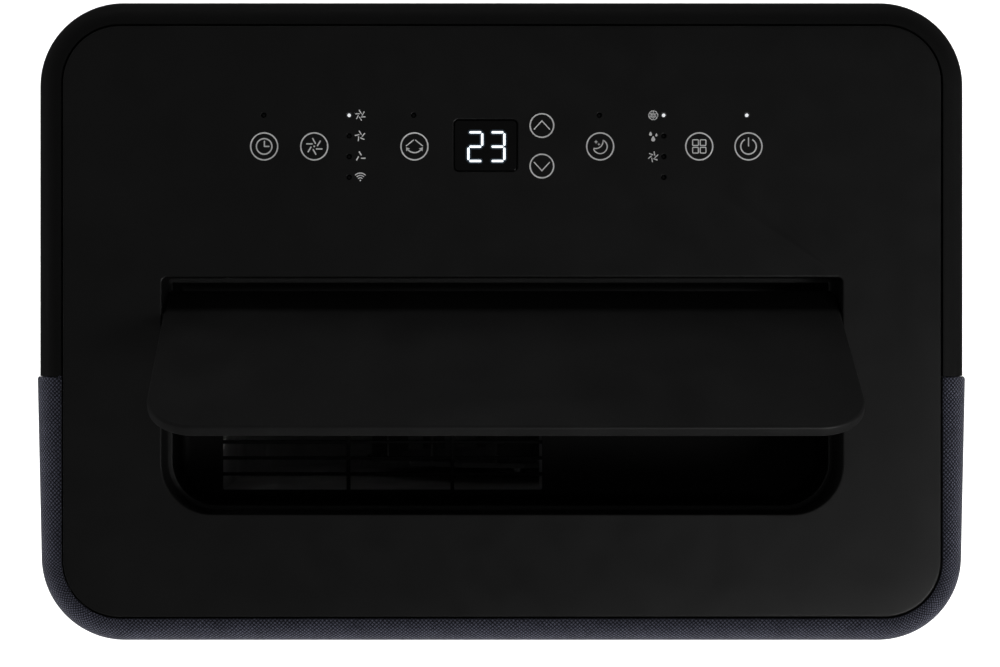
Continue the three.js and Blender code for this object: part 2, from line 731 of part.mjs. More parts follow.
function compressor() {
  const { radius, low, high, footCircle } = COMPRESSOR;
  const shell = turned(
    [
      [0, low + 4],
      [radius * 0.7, low + 4],
      [radius, low + 18],
      [radius, high - 26],
      [radius * 0.85, high - 10],
      [radius * 0.45, high],
      [0, high],
    ],
    ROUND,
  );
  const lugs = footAngles().map((angle) => {
    const arm = new THREE.BoxGeometry(footCircle, 22, 3).translate(footCircle / 2, 0, low + 1.5);
    return solid(arm.rotateZ(angle));
  });
  const terminal = rod("z", [24, 0], 11, high - 8, high + 10, 16);
  return join(shell, rod("z", [0, 0], radius * 0.7, low, low + 6), ...lugs, terminal);
}

const footAngles = () => [0, 1, 2].map((i) => Math.PI / 6 + (i * 2 * Math.PI) / 3);

function footPlace(angle) {
  const reach = COMPRESSOR.footCircle - 10;
  return [COMPRESSOR.x + reach * Math.cos(angle), COMPRESSOR.y + reach * Math.sin(angle)];
}

function compressorFoot(angle) {
  const low = PLINTH.low + 6 + GAP;
  return rod("z", footPlace(angle), 11, low, COMPRESSOR.low - GAP, 16);
}

function accumulator() {
  const { radius, low, high } = ACCUMULATOR;
  return turned(
    [
      [0, low - 12],
      [6, low - 12],
      [6, low],
      [radius, low + 10],
      [radius, high - 10],
      [6, high],
      [6, high + 8],
      [0, high + 8],
    ],
    16,
  );
}

// The exhaust duct: a box over the scroll's mouth that turns the air back to the port.
function exhaustDuct() {
  const left = -46;
  const right = 96;
  const high = 350;
  const overScroll = HOT_FAN.mouthZ + GAP;
  const step = 36;
  const rear = CASE.halfDepth - WALL - 26;
  const box = (grow, z0, y0, y1) =>
    block([left + grow, right - grow], [y0, y1], [z0, high - grow]);
  const front = HOT_BOX.front - SHEET;
  return cut(
    join(box(0, overScroll, front, rear), box(0, 221, step, rear)),
    box(SHEET, 221 + SHEET, step + SHEET, rear + 1),
    box(SHEET, overScroll + SHEET, front + SHEET, rear + 1),
    block(
      [HOT_FAN.x - HOT_FAN.end, HOT_FAN.mouthX],
      [HOT_BOX.front, HOT_BOX.rear],
      [overScroll - 1, overScroll + SHEET + 1],
    ),
  );
}

// A toothed disc that throws condensate from the pan on to the hot coil, about its own Z axis.
function splashWheel() {
  const teeth = 6;
  const disc = rod("z", [0, 0], SPLASHER.radius - 5, -1.5, 1.5);
  const paddles = Array.from({ length: teeth }, (_, i) => {
    const paddle = new THREE.BoxGeometry(9, 7, 3).translate(SPLASHER.radius - 5.5, 0, 0);
    return solid(paddle.rotateZ((i * 2 * Math.PI) / teeth));
  });
  const boss = rod("z", [0, 0], 6, -1.5, 7, 16);
  return cut(join(disc, boss, ...paddles), rod("z", [0, 0], 2.4, -3, 9, 12));
}

function splashMotor() {
  const centre = [SPLASHER.y, SPLASHER.z];
  const face = SPLASHER.x + 9;
  return join(
    rod("x", centre, 15, face, face + 22),
    rod("x", centre, 2, face - 14, face + 1, 12),
  );
}

// ---------------------------------------------------------------- casters

function casterPlaces() {
  const { x, y } = CASTER;
  return [
    [-x, -y],
    [x, -y],
    [-x, y],
    [x, y],
  ];
}

// A swivelling fork about its own stem, with its underside on the floor at z = 0.
function casterFork() {
  const { wheel, width, trail, axle, stem } = CASTER;
  const crown = [38, PLINTH.low - 0.4];
  const outside = width / 2 + 4.5;
  const cheekOutline = new THREE.Shape();
  cheekOutline.moveTo(-9, crown[1] - 1);
  cheekOutline.lineTo(trail - 7, wheel - 2);
  cheekOutline.absarc(trail, wheel, 7, Math.PI + 0.3, 2 * Math.PI);
  cheekOutline.lineTo(12, crown[1] - 1);
  const cheek = (side) => {
    const geometry = new THREE.ExtrudeGeometry(cheekOutline, {
      depth: 2.5,
      bevelEnabled: false,
      curveSegments: 3,
    });
    // Local X and Y of the outline become Y and Z of the caster.
    geometry.rotateZ(Math.PI / 2).rotateY(Math.PI / 2);
    return solid(geometry.translate(side > 0 ? outside - 2.5 : -outside, 0, 0));
  };
  return cut(
    join(
      rod("z", [0, 0], 13.5, ...crown),
      rod("z", [0, 0], stem, crown[1] - 1, PLINTH.low + 10, 12),
      cheek(-1),
      cheek(1),
    ),
    rod("x", [trail, wheel], axle + 0.5, -outside - 1, outside + 1, 8),
  );
}

// A wheel about its own Z axis. Its flats are the wheel's radius from its axis.
function casterWheel() {
  const { wheel, width, axle } = CASTER;
  const half = width / 2;
  const tread = wheel / Math.cos(Math.PI / ROUND);
  const bore = axle + 0.4;
  const profile = [
    [bore, half],
    [bore, -half],
    [tread - 1.5, -half],
    [tread, -half + 1.5],
    [tread, half - 1.5],
    [tread - 1.5, half],
    [bore, half],
  ];
  return turned(profile, ROUND).rotate([0, 0, 180 / ROUND]);
}

function casterAxle() {
  const reach = CASTER.width / 2 + 5.5;
  return rod("z", [0, 0], CASTER.axle, -reach, reach, 8);
}

// ---------------------------------------------------------------- assembly

const airConditioner = new THREE.Group();

function add(name, shape, material, parent = airConditioner) {
  const mesh = new THREE.Mesh(geometryOf(shape), material);
  mesh.name = name;
  parent.add(mesh);
  return mesh;
}

add("base_pan", basePan(), BLACK_PLASTIC);
add("rear_shell", rearShell(), BLACK_PLASTIC);
add("front_shell", frontShell(), BLACK_PLASTIC);
add("front_fabric", frontFabric(), CLOTH);
add("left_grip", gripCup(-1), DEEP_BLACK);
add("right_grip", gripCup(1), DEEP_BLACK);

add("top_panel", topPanel(), BLACK_PLASTIC);
add("display_lens", displayLens(), SMOKED);
add("display_module", displayModule(), DEEP_BLACK);
add("control_board", controlBoard(), BOARD_GREEN);
add("outlet_tray", outletTray(), DEEP_BLACK);
add("outlet_grille", outletGrille(), DEEP_BLACK);

const flap = add("outlet_flap", outletFlap(), BLACK_PLASTIC);
flap.position.set(0, FLAP.axisY, FLAP.axisZ);
flap.rotation.x = -THREE.MathUtils.degToRad(FLAP.open);
const leanAtRest = THREE.MathUtils.degToRad(DRIVE.lean);
const crankZ = FLAP.axisZ - DRIVE.rise;
add("flap_motor", flapMotor(), STEEL).position.set(0, FLAP.axisY, crankZ);
const crank = add("flap_crank", flapCrank(), WHITE_PLASTIC);
crank.position.set(0, FLAP.axisY, crankZ);
crank.rotation.x = -leanAtRest;
const link = add("flap_link", flapLink(), WHITE_PLASTIC);
link.position.set(
  0,
  FLAP.axisY - DRIVE.arm * Math.sin(leanAtRest),
  crankZ - DRIVE.arm * Math.cos(leanAtRest),
);

add("upper_intake_grille", intakeGrille(UPPER_WINDOW), BLACK_PLASTIC);
add("upper_filter", airFilter(UPPER_WINDOW), FILTER_GREY);
add("lower_intake_grille", intakeGrille(LOWER_WINDOW), BLACK_PLASTIC);
add("lower_filter", airFilter(LOWER_WINDOW), FILTER_GREY);
add("exhaust_collar", exhaustCollar(), BLACK_PLASTIC);
add("upper_drain_plug", drainPlug(DRAIN.upperZ), RUBBER);
add("lower_drain_plug", drainPlug(DRAIN.lowerZ), RUBBER);
add("cord_gland", cordGland(), RUBBER);

add("evaporator_coil", coil([-140, 140], [78, 108], [385, 625], 4), ALUMINIUM);
add("upper_scroll", scroll(COLD_FAN, COLD_BOX, 22), GREY_PLASTIC);
add("upper_inlet_ring", inletRing(COLD_FAN, COLD_BOX), GREY_PLASTIC);
add("upper_fan_motor", fanMotor(COLD_FAN, COLD_BOX, 36, 48), ZINC);
const coldWheel = add("upper_blower_wheel", blowerWheel(COLD_FAN.radius, 74, 14), GREY_PLASTIC);
coldWheel.rotation.x = -Math.PI / 2;
coldWheel.position.set(COLD_FAN.x, COLD_BOX.front + 8, COLD_FAN.z);
add("mid_deck", midDeck(), WHITE_PLASTIC);
add("electrical_box", electricalBox(), ZINC);
add("capacitor", rod("z", [112, -119], 18, 388, 470), ALUMINIUM);

add("condenser_coil", coil([-140, 140], [88, 122], [76, 212], 3), ALUMINIUM);
add("lower_scroll", scroll(HOT_FAN, HOT_BOX, 22), GREY_PLASTIC);
add("lower_inlet_ring", inletRing(HOT_FAN, HOT_BOX), GREY_PLASTIC);
add("lower_fan_motor", fanMotor(HOT_FAN, HOT_BOX, 34, 50), ZINC);
const hotWheel = add("lower_blower_wheel", blowerWheel(HOT_FAN.radius, 64, 12), GREY_PLASTIC);
hotWheel.rotation.x = -Math.PI / 2;
hotWheel.position.set(HOT_FAN.x, HOT_BOX.front + 7, HOT_FAN.z);
add("exhaust_duct", exhaustDuct(), GREY_PLASTIC);

const compressorMesh = add("compressor", compressor(), ENAMEL);
compressorMesh.position.set(COMPRESSOR.x, COMPRESSOR.y, 0);
footAngles().forEach((angle, i) => {
  add(`compressor_foot_${i + 1}`, compressorFoot(angle), RUBBER);
});
const accumulatorMesh = add("accumulator", accumulator(), ENAMEL);
accumulatorMesh.position.set(ACCUMULATOR.x, ACCUMULATOR.y, 0);

// Refrigerant lines: cold coil to accumulator, compressor to hot coil, hot coil to cold coil.
const suctionRoute = [
  [-142.5, 93, 430],
  [-165, 90, 428],
  [-188, 74, 400],
  [-190, 60, 362],
  [-189, 54, 310],
  [-172, 42, 282],
  [ACCUMULATOR.x, ACCUMULATOR.y, ACCUMULATOR.high + 10],
];
const dischargeRoute = [
  [COMPRESSOR.x - 8, COMPRESSOR.y, COMPRESSOR.high + 1.5],
  [COMPRESSOR.x - 8, COMPRESSOR.y + 4, COMPRESSOR.high + 26],
  [COMPRESSOR.x - 10, COMPRESSOR.y + 50, COMPRESSOR.high + 30],
  [-150, 64, 262],
  [-164, 84, 220],
  [-160, 101, 186],
  [-143.5, 105, 178],
];
const liquidRoute = [
  [-142.5, 105, 104],
  [-166, 106, 106],
  [-188, 104, 140],
  [-190, 100, 250],
  [-190, 100, 362],
  [-184, 98, 398],
  [-160, 96, 408],
  [-142.5, 93, 410],
];
add("suction_pipe", pipe(suctionRoute, 4.5, 20), COPPER);
add("discharge_pipe", pipe(dischargeRoute, 3.5, 20), COPPER);
add("liquid_line", pipe(liquidRoute, 2.6, 20), COPPER);

add("splash_motor", splashMotor(), ZINC);
const splasher = add("splash_wheel", splashWheel(), WHITE_PLASTIC);
splasher.rotation.y = Math.PI / 2;
splasher.position.set(SPLASHER.x, SPLASHER.y, SPLASHER.z);

["front_left", "front_right", "rear_left", "rear_right"].forEach((corner, i) => {
  const caster = new THREE.Group();
  const [x, y] = casterPlaces()[i];
  caster.position.set(x, y, 0);
  add(`caster_fork_${corner}`, casterFork(), BLACK_PLASTIC, caster);
  const wheel = add(`caster_wheel_${corner}`, casterWheel(), RUBBER, caster);
  const axle = add(`caster_axle_${corner}`, casterAxle(), STEEL, caster);
  [wheel, axle].forEach((mesh) => {
    mesh.rotation.y = Math.PI / 2;
    mesh.position.set(0, CASTER.trail, CASTER.wheel);
  });
  airConditioner.add(caster);
});

export default airConditioner;
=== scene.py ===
# %% [markdown]
# # A portable air conditioner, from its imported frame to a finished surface
#
# The machine is already designed: every sub-part has its size, its place and its joint in the frame
# that this lesson loads. What is left is the surface, which is what an eye judges. Each hidden part
# keeps its shape and gets a better finish. Each part that is seen closely is built again in full
# detail: the moulded casing, the cloth round its front, the top panel with its symbols, the flap,
# the grilles, the hose collar and the casters.

# %% Load the frame
import math

import bmesh
import bpy
import numpy as np
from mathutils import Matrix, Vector
from mathutils.geometry import tessellate_polygon


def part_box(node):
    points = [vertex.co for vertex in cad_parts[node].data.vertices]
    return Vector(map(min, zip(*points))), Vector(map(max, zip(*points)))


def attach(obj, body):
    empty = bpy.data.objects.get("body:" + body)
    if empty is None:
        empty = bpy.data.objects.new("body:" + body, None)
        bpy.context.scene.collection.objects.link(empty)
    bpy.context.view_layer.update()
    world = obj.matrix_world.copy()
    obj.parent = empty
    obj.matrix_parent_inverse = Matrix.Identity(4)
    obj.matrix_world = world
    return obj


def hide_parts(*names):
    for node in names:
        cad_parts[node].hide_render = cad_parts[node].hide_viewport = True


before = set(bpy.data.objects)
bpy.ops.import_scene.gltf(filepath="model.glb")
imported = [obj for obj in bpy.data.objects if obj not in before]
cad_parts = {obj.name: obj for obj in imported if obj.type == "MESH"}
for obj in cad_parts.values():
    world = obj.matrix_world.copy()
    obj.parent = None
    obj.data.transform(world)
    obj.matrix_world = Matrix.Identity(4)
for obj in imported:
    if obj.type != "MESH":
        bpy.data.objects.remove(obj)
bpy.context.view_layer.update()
MM = 0.001
TAU = 2 * math.pi


def span(node, axis):
    """Lowest and highest coordinate of a frame node along one axis, in metres."""
    low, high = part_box(node)
    return low[axis], high[axis]


# %% [markdown]
# ## The camera
#
# The machine is looked at from straight above, from about a metre over its top, so the lens has to
# be a long one and the perspective is gentle. The camera stands a little to the left of the middle.
# A shifted lens then brings the machine back to the middle of the picture without turning the camera,
# which would make its straight sides converge.

# %% Camera
X, Y, Z = 0, 1, 2
TOP = span("top_panel", Z)[1]
CAMERA_ABOVE_TOP = 0.9907
LENS = 75.7
camera_data = bpy.data.cameras.new("camera")
camera_data.lens = LENS
camera_data.sensor_width = 36.0
camera_data.shift_x = 0.062
camera = bpy.data.objects.new("camera", camera_data)
camera.location = (-0.0302, -0.0057, TOP + CAMERA_ABOVE_TOP)
bpy.context.scene.collection.objects.link(camera)
bpy.context.scene.camera = camera
print("camera height in m:", round(camera.location.z, 3))

# %% [markdown]
# ## Surfaces from arrays
#
# Nearly every part here is one of two things: a plan carried up a profile, or a flat region with
# holes. A plan is an outline seen from above. Lofting between an outer plan and an inner plan lets
# one profile make a wall, a rounded shoulder and a lip in a single grid of points, because a profile
# point only has to say how far it lies from the outer plan to the inner one, and how high it is.
# All points are computed as whole arrays, in millimetres, and become metres when a mesh is made.


# %% Plans
def arc(centre, radius, start, stop, steps):
    """Points at equal angles from start to stop, in degrees, on a circle."""
    angle = np.radians(np.linspace(start, stop, steps + 1))
    return np.stack([centre[0] + radius * np.cos(angle), centre[1] + radius * np.sin(angle)], 1)


def rounded_plan(half_width, front, rear, front_radius, rear_radius, steps=20):
    """A rectangle with rounded corners, anticlockwise from its left side: four quarter circles."""
    left, right = -half_width + front_radius, half_width - front_radius
    inner_left, inner_right = -half_width + rear_radius, half_width - rear_radius
    return np.concatenate(
        [
            arc((left, front + front_radius), front_radius, 180, 270, steps),
            arc((right, front + front_radius), front_radius, 270, 360, steps),
            arc((inner_right, rear - rear_radius), rear_radius, 0, 90, steps),
            arc((inner_left, rear - rear_radius), rear_radius, 90, 180, steps),
        ]
    )


def circle_plan(centre, radius, sides=32):
    """A circle as a closed outline."""
    return arc(centre, radius, 0, 360, sides)[:-1]


def grown(plan, amount):
    """A closed outline moved outwards: each point goes along the bisector of its two edges."""
    before, after = plan - np.roll(plan, 1, 0), np.roll(plan, -1, 0) - plan
    tangent = before / np.linalg.norm(before, axis=1)[:, None]
    tangent = tangent + after / np.linalg.norm(after, axis=1)[:, None]
    tangent /= np.linalg.norm(tangent, axis=1)[:, None]
    half_turn = np.clip((tangent * before).sum(1) / np.linalg.norm(before, axis=1), 0.3, 1)
    outward = np.stack([tangent[:, 1], -tangent[:, 0]], 1)
    return plan + outward * (amount / half_turn)[:, None]


# %% Grids of points and their faces
def loft(outer, inner, profile):
    """Grid of points. A profile row (t, z) is at outer + t (inner - outer), at height z."""
    t, height = np.asarray(profile, float).T
    flat = outer[:, None, :] + t[None, :, None] * (inner - outer)[:, None, :]
    z = np.broadcast_to(height[None, :, None], flat.shape[:2] + (1,))
    return np.concatenate([flat, z], 2)


def quads(rows, columns, wrap_rows=False, wrap_columns=False):
    """Faces of a grid of rows by columns points, each from a point to its next neighbours."""
    i = np.arange(rows if wrap_rows else rows - 1)[:, None]
    j = np.arange(columns if wrap_columns else columns - 1)[None, :]
    i_next, j_next = (i + 1) % rows, (j + 1) % columns
    corners = [i * columns + j, i_next * columns + j, i_next * columns + j_next, i * columns + j_next]
    return np.stack([c.ravel() for c in corners], 1)


def grid(points, wrap_rows=False, wrap_columns=False):
    """A part made of one grid: its points in a list and its quads."""
    rows, columns = points.shape[:2]
    return points.reshape(-1, 3), quads(rows, columns, wrap_rows, wrap_columns)


def flat_region(outline, holes, height):
    """The flat area inside an outline and outside its holes, cut into triangles."""
    loops = [outline, *holes]
    points = np.concatenate(loops)
    points = np.concatenate([points, np.full((len(points), 1), float(height))], 1)
    loops3 = [[Vector((x, y, 0)) for x, y in loop] for loop in loops]
    return points, np.array(tessellate_polygon(loops3))


def drawn_up(outline, low, high, edge=0.0, steps=3):
    """A solid with an outline in plan from low to high, its two rims rounded by edge."""
    turn = np.radians(np.linspace(0, 90, steps + 1)) if edge else np.zeros(1)
    lower = [(edge * (1 - math.sin(a)), low + edge * (1 - math.cos(a))) for a in turn]
    upper = [(edge * (1 - math.cos(a)), high - edge * (1 - math.sin(a))) for a in turn]
    rings = [grown(outline, -inset) for inset, _ in lower + upper]
    heights = [z for _, z in lower + upper]
    points = np.stack([np.column_stack([r, np.full(len(r), z)]) for r, z in zip(rings, heights)], 1)
    return [
        grid(points, wrap_rows=True),
        flat_region(rings[0], [], heights[0]),
        flat_region(rings[-1], [], heights[-1]),
    ]


def turned_part(profile, sides=48):
    """A closed profile (radius, height) turned once about Z."""
    radius, height = np.asarray(profile, float).T
    angle = np.linspace(0, TAU, sides, endpoint=False)[:, None]
    z = np.broadcast_to(height, (sides, len(height)))
    points = np.stack([radius * np.cos(angle), radius * np.sin(angle), z], 2)
    return [grid(points, wrap_rows=True, wrap_columns=True)]


def box_part(x, y, z, edge=0.3):
    """A box with its upright edges and rims softened by edge."""
    middle = ((x[0] + x[1]) / 2, (y[0] + y[1]) / 2)
    half = (x[1] - x[0]) / 2
    plan = rounded_plan(half, y[0] - middle[1], y[1] - middle[1], edge, edge, 2) + np.array(middle)
    return drawn_up(plan, z[0], z[1], edge, 1)


# %% Placing parts
def mapped(parts, function):
    """The same parts with their points put through a function."""
    return [(function(points), faces) for points, faces in parts]


def moved(parts, offset):
    """The same parts moved by an offset."""
    return mapped(parts, lambda p: p + np.array(offset, float))


def facing(parts, axis):
    """Parts drawn up along Z, turned so that they are drawn along X or Y instead."""
    order = {"x": [2, 0, 1], "y": [0, 2, 1]}[axis]
    sign = {"x": 1, "y": -1}[axis]
    return [(p[:, order], f[:, ::sign] if sign < 0 else f) for p, f in parts]


def tilted(parts, degrees, pivot):
    """Parts turned about an axis along X through a pivot (y, z), right-handed."""
    c, s = math.cos(math.radians(degrees)), math.sin(math.radians(degrees))

    def turn(p):
        y, z = p[:, 1] - pivot[0], p[:, 2] - pivot[1]
        return np.stack([p[:, 0], pivot[0] + c * y - s * z, pivot[1] + s * y + c * z], 1)

    return mapped(parts, turn)


# %% Making a piece
def mesh_of(name, parts, smooth=32.0, weld=True):
    """One mesh in metres out of parts in millimetres, welded, facing out, smooth but for creases."""
    points, faces, start = [], [], 0
    for p, f in parts:
        points.append(p * MM)
        faces += (f + start).tolist()
        start += len(p)
    mesh = bpy.data.meshes.new(name)
    mesh.from_pydata(np.concatenate(points).tolist(), [], faces)
    if weld:
        work = bmesh.new()
        work.from_mesh(mesh)
        bmesh.ops.remove_doubles(work, verts=work.verts, dist=1e-6)
        bmesh.ops.dissolve_degenerate(work, edges=work.edges, dist=1e-7)
        bmesh.ops.recalc_face_normals(work, faces=work.faces)
        work.to_mesh(mesh)
        work.free()
    mesh.shade_smooth()
    mesh.set_sharp_from_angle(angle=math.radians(smooth))
    return mesh


def piece(name, parts, material, body="casing", stands_for=(), smooth=32.0, weld=True):
    """A finished piece: its mesh, its material, the body it rides on and the nodes it stands for."""
    made = bpy.data.objects.new(name, mesh_of(name, parts, smooth, weld))
    bpy.context.scene.collection.objects.link(made)
    made.data.materials.append(material)
    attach(made, body)
    if stands_for:
        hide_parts(*stands_for)
    print(name, "faces:", len(made.data.polygons))
    return made


def carved(base, cutters, name="cutter"):
    """The base object less each closed part list, cut exactly, with the cutters removed after."""
    tools = []
    for parts in cutters:
        tool = bpy.data.objects.new(name, mesh_of(name, parts))
        bpy.context.scene.collection.objects.link(tool)
        cut = base.modifiers.new("cut", "BOOLEAN")
        cut.operation, cut.solver, cut.object = "DIFFERENCE", "EXACT", tool
        tools.append(tool)
    view = bpy.context.evaluated_depsgraph_get()
    result = bpy.data.meshes.new_from_object(base.evaluated_get(view))
    base.modifiers.clear()
    base.data = result
    for tool in tools:
        bpy.data.objects.remove(tool)
    base.data.shade_smooth()
    base.data.set_sharp_from_angle(angle=math.radians(32))
    return base


# %% [markdown]
# ## Finishes
#
# Moulded casing plastic is never perfectly smooth: the mould is spark-eroded, so the surface has a
# fine grain that spreads the highlights. One function makes every plastic here. Its grain is a small
# bump from noise, its roughness drifts a little over the part, and its colour has a faint cloudiness.
# A value that is the same all over the part is set straight on the shader's own socket.


# %% Material helpers
def new_material(name):
    """An empty node material, with its tree, its shader and its Object coordinates."""
    material = bpy.data.materials.new(name)
    material.use_nodes = True
    tree = material.node_tree
    shader = tree.nodes["Principled BSDF"]
    place = tree.nodes.new("ShaderNodeTexCoord").outputs["Object"]
    return material, tree, shader, place


def add(tree, kind, values=None, **settings):
    """A node with its settings, and its inputs set to values or joined to sockets."""
    node = tree.nodes.new("ShaderNode" + kind)
    for key, value in settings.items():
        setattr(node, key, value)
    for key, value in (values or {}).items():
        if isinstance(value, bpy.types.NodeSocket):
            tree.links.new(value, node.inputs[key])
        else:
            node.inputs[key].default_value = value
    return node


def noise(tree, place, scale, detail=2.0, rough=0.5):
    """Noise from 0 to 1, at about scale grains a metre."""
    values = {"Vector": place, "Scale": scale, "Detail": detail, "Roughness": rough}
    return add(tree, "TexNoise", values).outputs["Fac"]


def ranged(tree, value, low, high, start=0.3, stop=0.7):
    """A value from start to stop, spread from low to high and held there outside."""
    keys = {"Value": value, "From Min": start, "From Max": stop, "To Min": low, "To Max": high}
    return add(tree, "MapRange", keys).outputs["Result"]


def mixed(tree, share, first, second):
    """A colour between two colours."""
    node = add(tree, "Mix", data_type="RGBA")
    for key, value in ((0, share), (6, first), (7, second)):
        if isinstance(value, bpy.types.NodeSocket):
            tree.links.new(value, node.inputs[key])
        else:
            node.inputs[key].default_value = value
    return node.outputs[2]


def bumped(tree, shader, height, distance, strength=1.0):
    """Joins a height to the shader's normal as a bump of that depth in metres."""
    values = {"Height": height, "Distance": distance, "Strength": strength}
    tree.links.new(add(tree, "Bump", values).outputs["Normal"], shader.inputs["Normal"])


def grey(value, tint=(1.0, 1.0, 1.0)):
    """A colour of a given linear brightness."""
    return (value * tint[0], value * tint[1], value * tint[2], 1.0)


def plastic(name, shade, roughness, grain=2500.0, depth=0.00002, specular=0.5, tint=(1, 1, 1), painted_light_ramp=None):
    """Moulded plastic: cloudy colour, roughness that drifts, and the mould's grain as a bump.

    With a ramp of painted light and shade (low, high, upper shade), the colour goes over to the upper shade
    between two heights instead, so light and shade are painted in by height.
    """
    material, tree, shader, place = new_material(name)
    if painted_light_ramp:
        height = add(tree, "SeparateXYZ", {0: place}).outputs[2]
        share, first, last = ranged(tree, height, 0, 1, painted_light_ramp[0], painted_light_ramp[1]), shade, painted_light_ramp[2]
    else:
        cloud = noise(tree, place, 35.0, 3.0)
        share, first, last = ranged(tree, cloud, 0, 1), shade * 0.85, shade * 1.15
    colour = mixed(tree, share, grey(first, tint), grey(last, tint))
    tree.links.new(colour, shader.inputs["Base Color"])
    drift = ranged(tree, noise(tree, place, 60.0, 4.0), roughness - 0.04, roughness + 0.04)
    tree.links.new(drift, shader.inputs["Roughness"])
    shader.inputs["Specular IOR Level"].default_value = specular
    bumped(tree, shader, noise(tree, place, grain, 2.0, 0.6), depth)
    return material


def metal(name, colour, roughness, streak=(1.0, 1.0, 1.0), scale=300.0):
    """Metal: roughness and a faint bump from noise that is stretched along its working direction."""
    material, tree, shader, place = new_material(name)
    run = add(tree, "Mapping", {"Vector": place, "Scale": streak}).outputs["Vector"]
    marks = noise(tree, run, scale, 4.0)
    tint = mixed(tree, marks, (*[c * 0.8 for c in colour], 1.0), (*colour, 1.0))
    tree.links.new(tint, shader.inputs["Base Color"])
    shader.inputs["Metallic"].default_value = 1.0
    tree.links.new(ranged(tree, marks, roughness - 0.08, roughness + 0.08), shader.inputs["Roughness"])
    bumped(tree, shader, marks, 0.00002)
    return material


# %% The machine's finishes
# The casing is one moulding painted in two tones by height: 0.022 on the walls, going over to 0.0045 from
# 0.60 m to 0.665 m and above. The darker top is painted shade over the upper wall and shoulder.
SHOULDER_PAINTED_SHADE, WALL_SHADE = 0.0045, 0.022
PAINTED_SHADE_UP_THE_WALL = (0.60, 0.665, SHOULDER_PAINTED_SHADE)
CASE_BLACK = plastic("case_black", WALL_SHADE, 0.5, depth=0.00003, specular=0.18, painted_light_ramp=PAINTED_SHADE_UP_THE_WALL)
PANEL_BLACK = plastic("panel_black", 0.0055, 0.38, grain=3500.0, depth=0.00002, specular=0.35)
FLAP_BLACK = plastic("flap_black", 0.0068, 0.45, specular=0.4)
# Far darker than any black plastic: painted shade, for the parts deep in the outlet duct.
PAINTED_SHADE_BLACK = plastic("deep_black", 0.0012, 0.6, specular=0.15)
GREY_PLASTIC = plastic("grey_plastic", 0.10, 0.55)
WHITE_PLASTIC = plastic("white_plastic", 0.6, 0.45)
RUBBER = plastic("rubber", 0.012, 0.75, grain=1200.0, depth=0.00005, specular=0.3)
print("materials so far:", len(bpy.data.materials))

# %% [markdown]
# ## The rear casing
#
# The rear half is one moulding, U-shaped from above. Its wall runs up into a soft shoulder that falls
# away from the top panel, and inside the shoulder is a step that the panel rests on. The section is
# the same all round, so it is a closed profile lofted along the U and capped at both ends. The
# windows, the collar's hole and the finger grips are cut after that.

# %% Sizes of the casing
SPLIT = span("rear_shell", Y)[0] / MM
CASE_HALF = span("rear_shell", X)[1] / MM
CASE_REAR = span("rear_shell", Y)[1] / MM
SHELL_LOW, RIM_TOP = (v / MM for v in span("rear_shell", Z))
CASE_RADIUS = 40.0
WALL = 3.0
RIM_WIDTH = 11.5
RIM_DROP = 13.0
PANEL_HALF = span("top_panel", X)[1] / MM
PANEL_FRONT, PANEL_REAR = (v / MM for v in span("top_panel", Y))
PANEL_RADIUS = 27.0
SEAM = 0.8
RECESS_HALF = PANEL_HALF + SEAM
RECESS_REAR = PANEL_REAR + SEAM
RECESS_FRONT = PANEL_FRONT - SEAM
RECESS_RADIUS = PANEL_RADIUS + SEAM
LEDGE = 692.0
TOP_MM = TOP / MM
CORNER = 32
LOFT_WIDTH = RIM_WIDTH + 0.6  # from the wall's outer face to the recess, in the casing's section
LEDGE_REACH = 4.0  # how far the ledge reaches in under the panel


def shoulder(width, t_end, top, drop, steps=14):
    """Quarter ellipse from the wall to the rim, as profile rows (t, z)."""
    a = np.radians(np.linspace(0, 90, steps + 1))
    inset = width * (1 - np.cos(a))
    return [(i / t_end, top - drop + drop * s) for i, s in zip(inset, np.sin(a))]


def rear_plan(half_width, rear, radius, front=SPLIT):
    """The U of the rear half, from its left end round the back to its right end."""
    ends = ([[half_width, front]], [[-half_width, front]])
    right = arc((half_width - radius, rear - radius), radius, 0, 90, CORNER)
    left = arc((-half_width + radius, rear - radius), radius, 90, 180, CORNER)
    return np.concatenate([ends[0], right, left, ends[1]])


def casing_profile(low, thick, rim):
    """Closed section of a casing wall, shoulder, rim and ledge, for a loft of LOFT_WIDTH."""
    t = LOFT_WIDTH
    rows = [(0.6 / t, low), (0.0, low + 0.8)]
    rows += shoulder(RIM_WIDTH, t, rim, RIM_DROP)
    under = rim - RIM_DROP + 2
    rows += [(1 - 0.25 / t, rim), (1.0, rim - 0.4), (1.0, LEDGE), (1 + LEDGE_REACH / t, LEDGE)]
    rows += [(1 + LEDGE_REACH / t, under), (thick / t, under), (thick / t, low)]
    return rows


def capped_loft(outer, inner, profile):
    """A closed profile lofted along an open plan, with both ends capped."""
    points = loft(outer, inner, profile)
    caps = []
    for end in (points[0], points[-1]):
        triangles = tessellate_polygon([[Vector((p[0], p[2], 0)) for p in end]])
        caps.append((end, np.array(triangles)))
    return [grid(points, wrap_columns=True), *caps]


# %% Cut the windows
def window(node, grow=0.4, radius=3.0):
    """A rounded cutter through the rear wall, round a node that fills its window."""
    (x0, x1), (z0, z1) = (np.array(span(node, a)) / MM for a in (X, Z))
    half, middle = (x1 - x0) / 2 + grow, (z0 + z1) / 2
    plan = rounded_plan(half, -(z1 - z0) / 2 - grow, (z1 - z0) / 2 + grow, radius, radius, 6)
    return moved(facing(drawn_up(plan, 0, 12), "y"), (0, CASE_REAR - 9, middle))


def round_cutter(node, grow, sides=48):
    """A round cutter through the rear wall; a flange behind the wall needs a hole smaller than its node."""
    low, high = (np.array(c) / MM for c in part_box(node))
    centre, radius = (low + high) / 2, (high[0] - low[0]) / 2 + grow
    parts = facing(drawn_up(circle_plan((0, 0), radius, sides), 0, 14), "y")
    return moved(parts, (centre[0], CASE_REAR - 10, centre[2]))


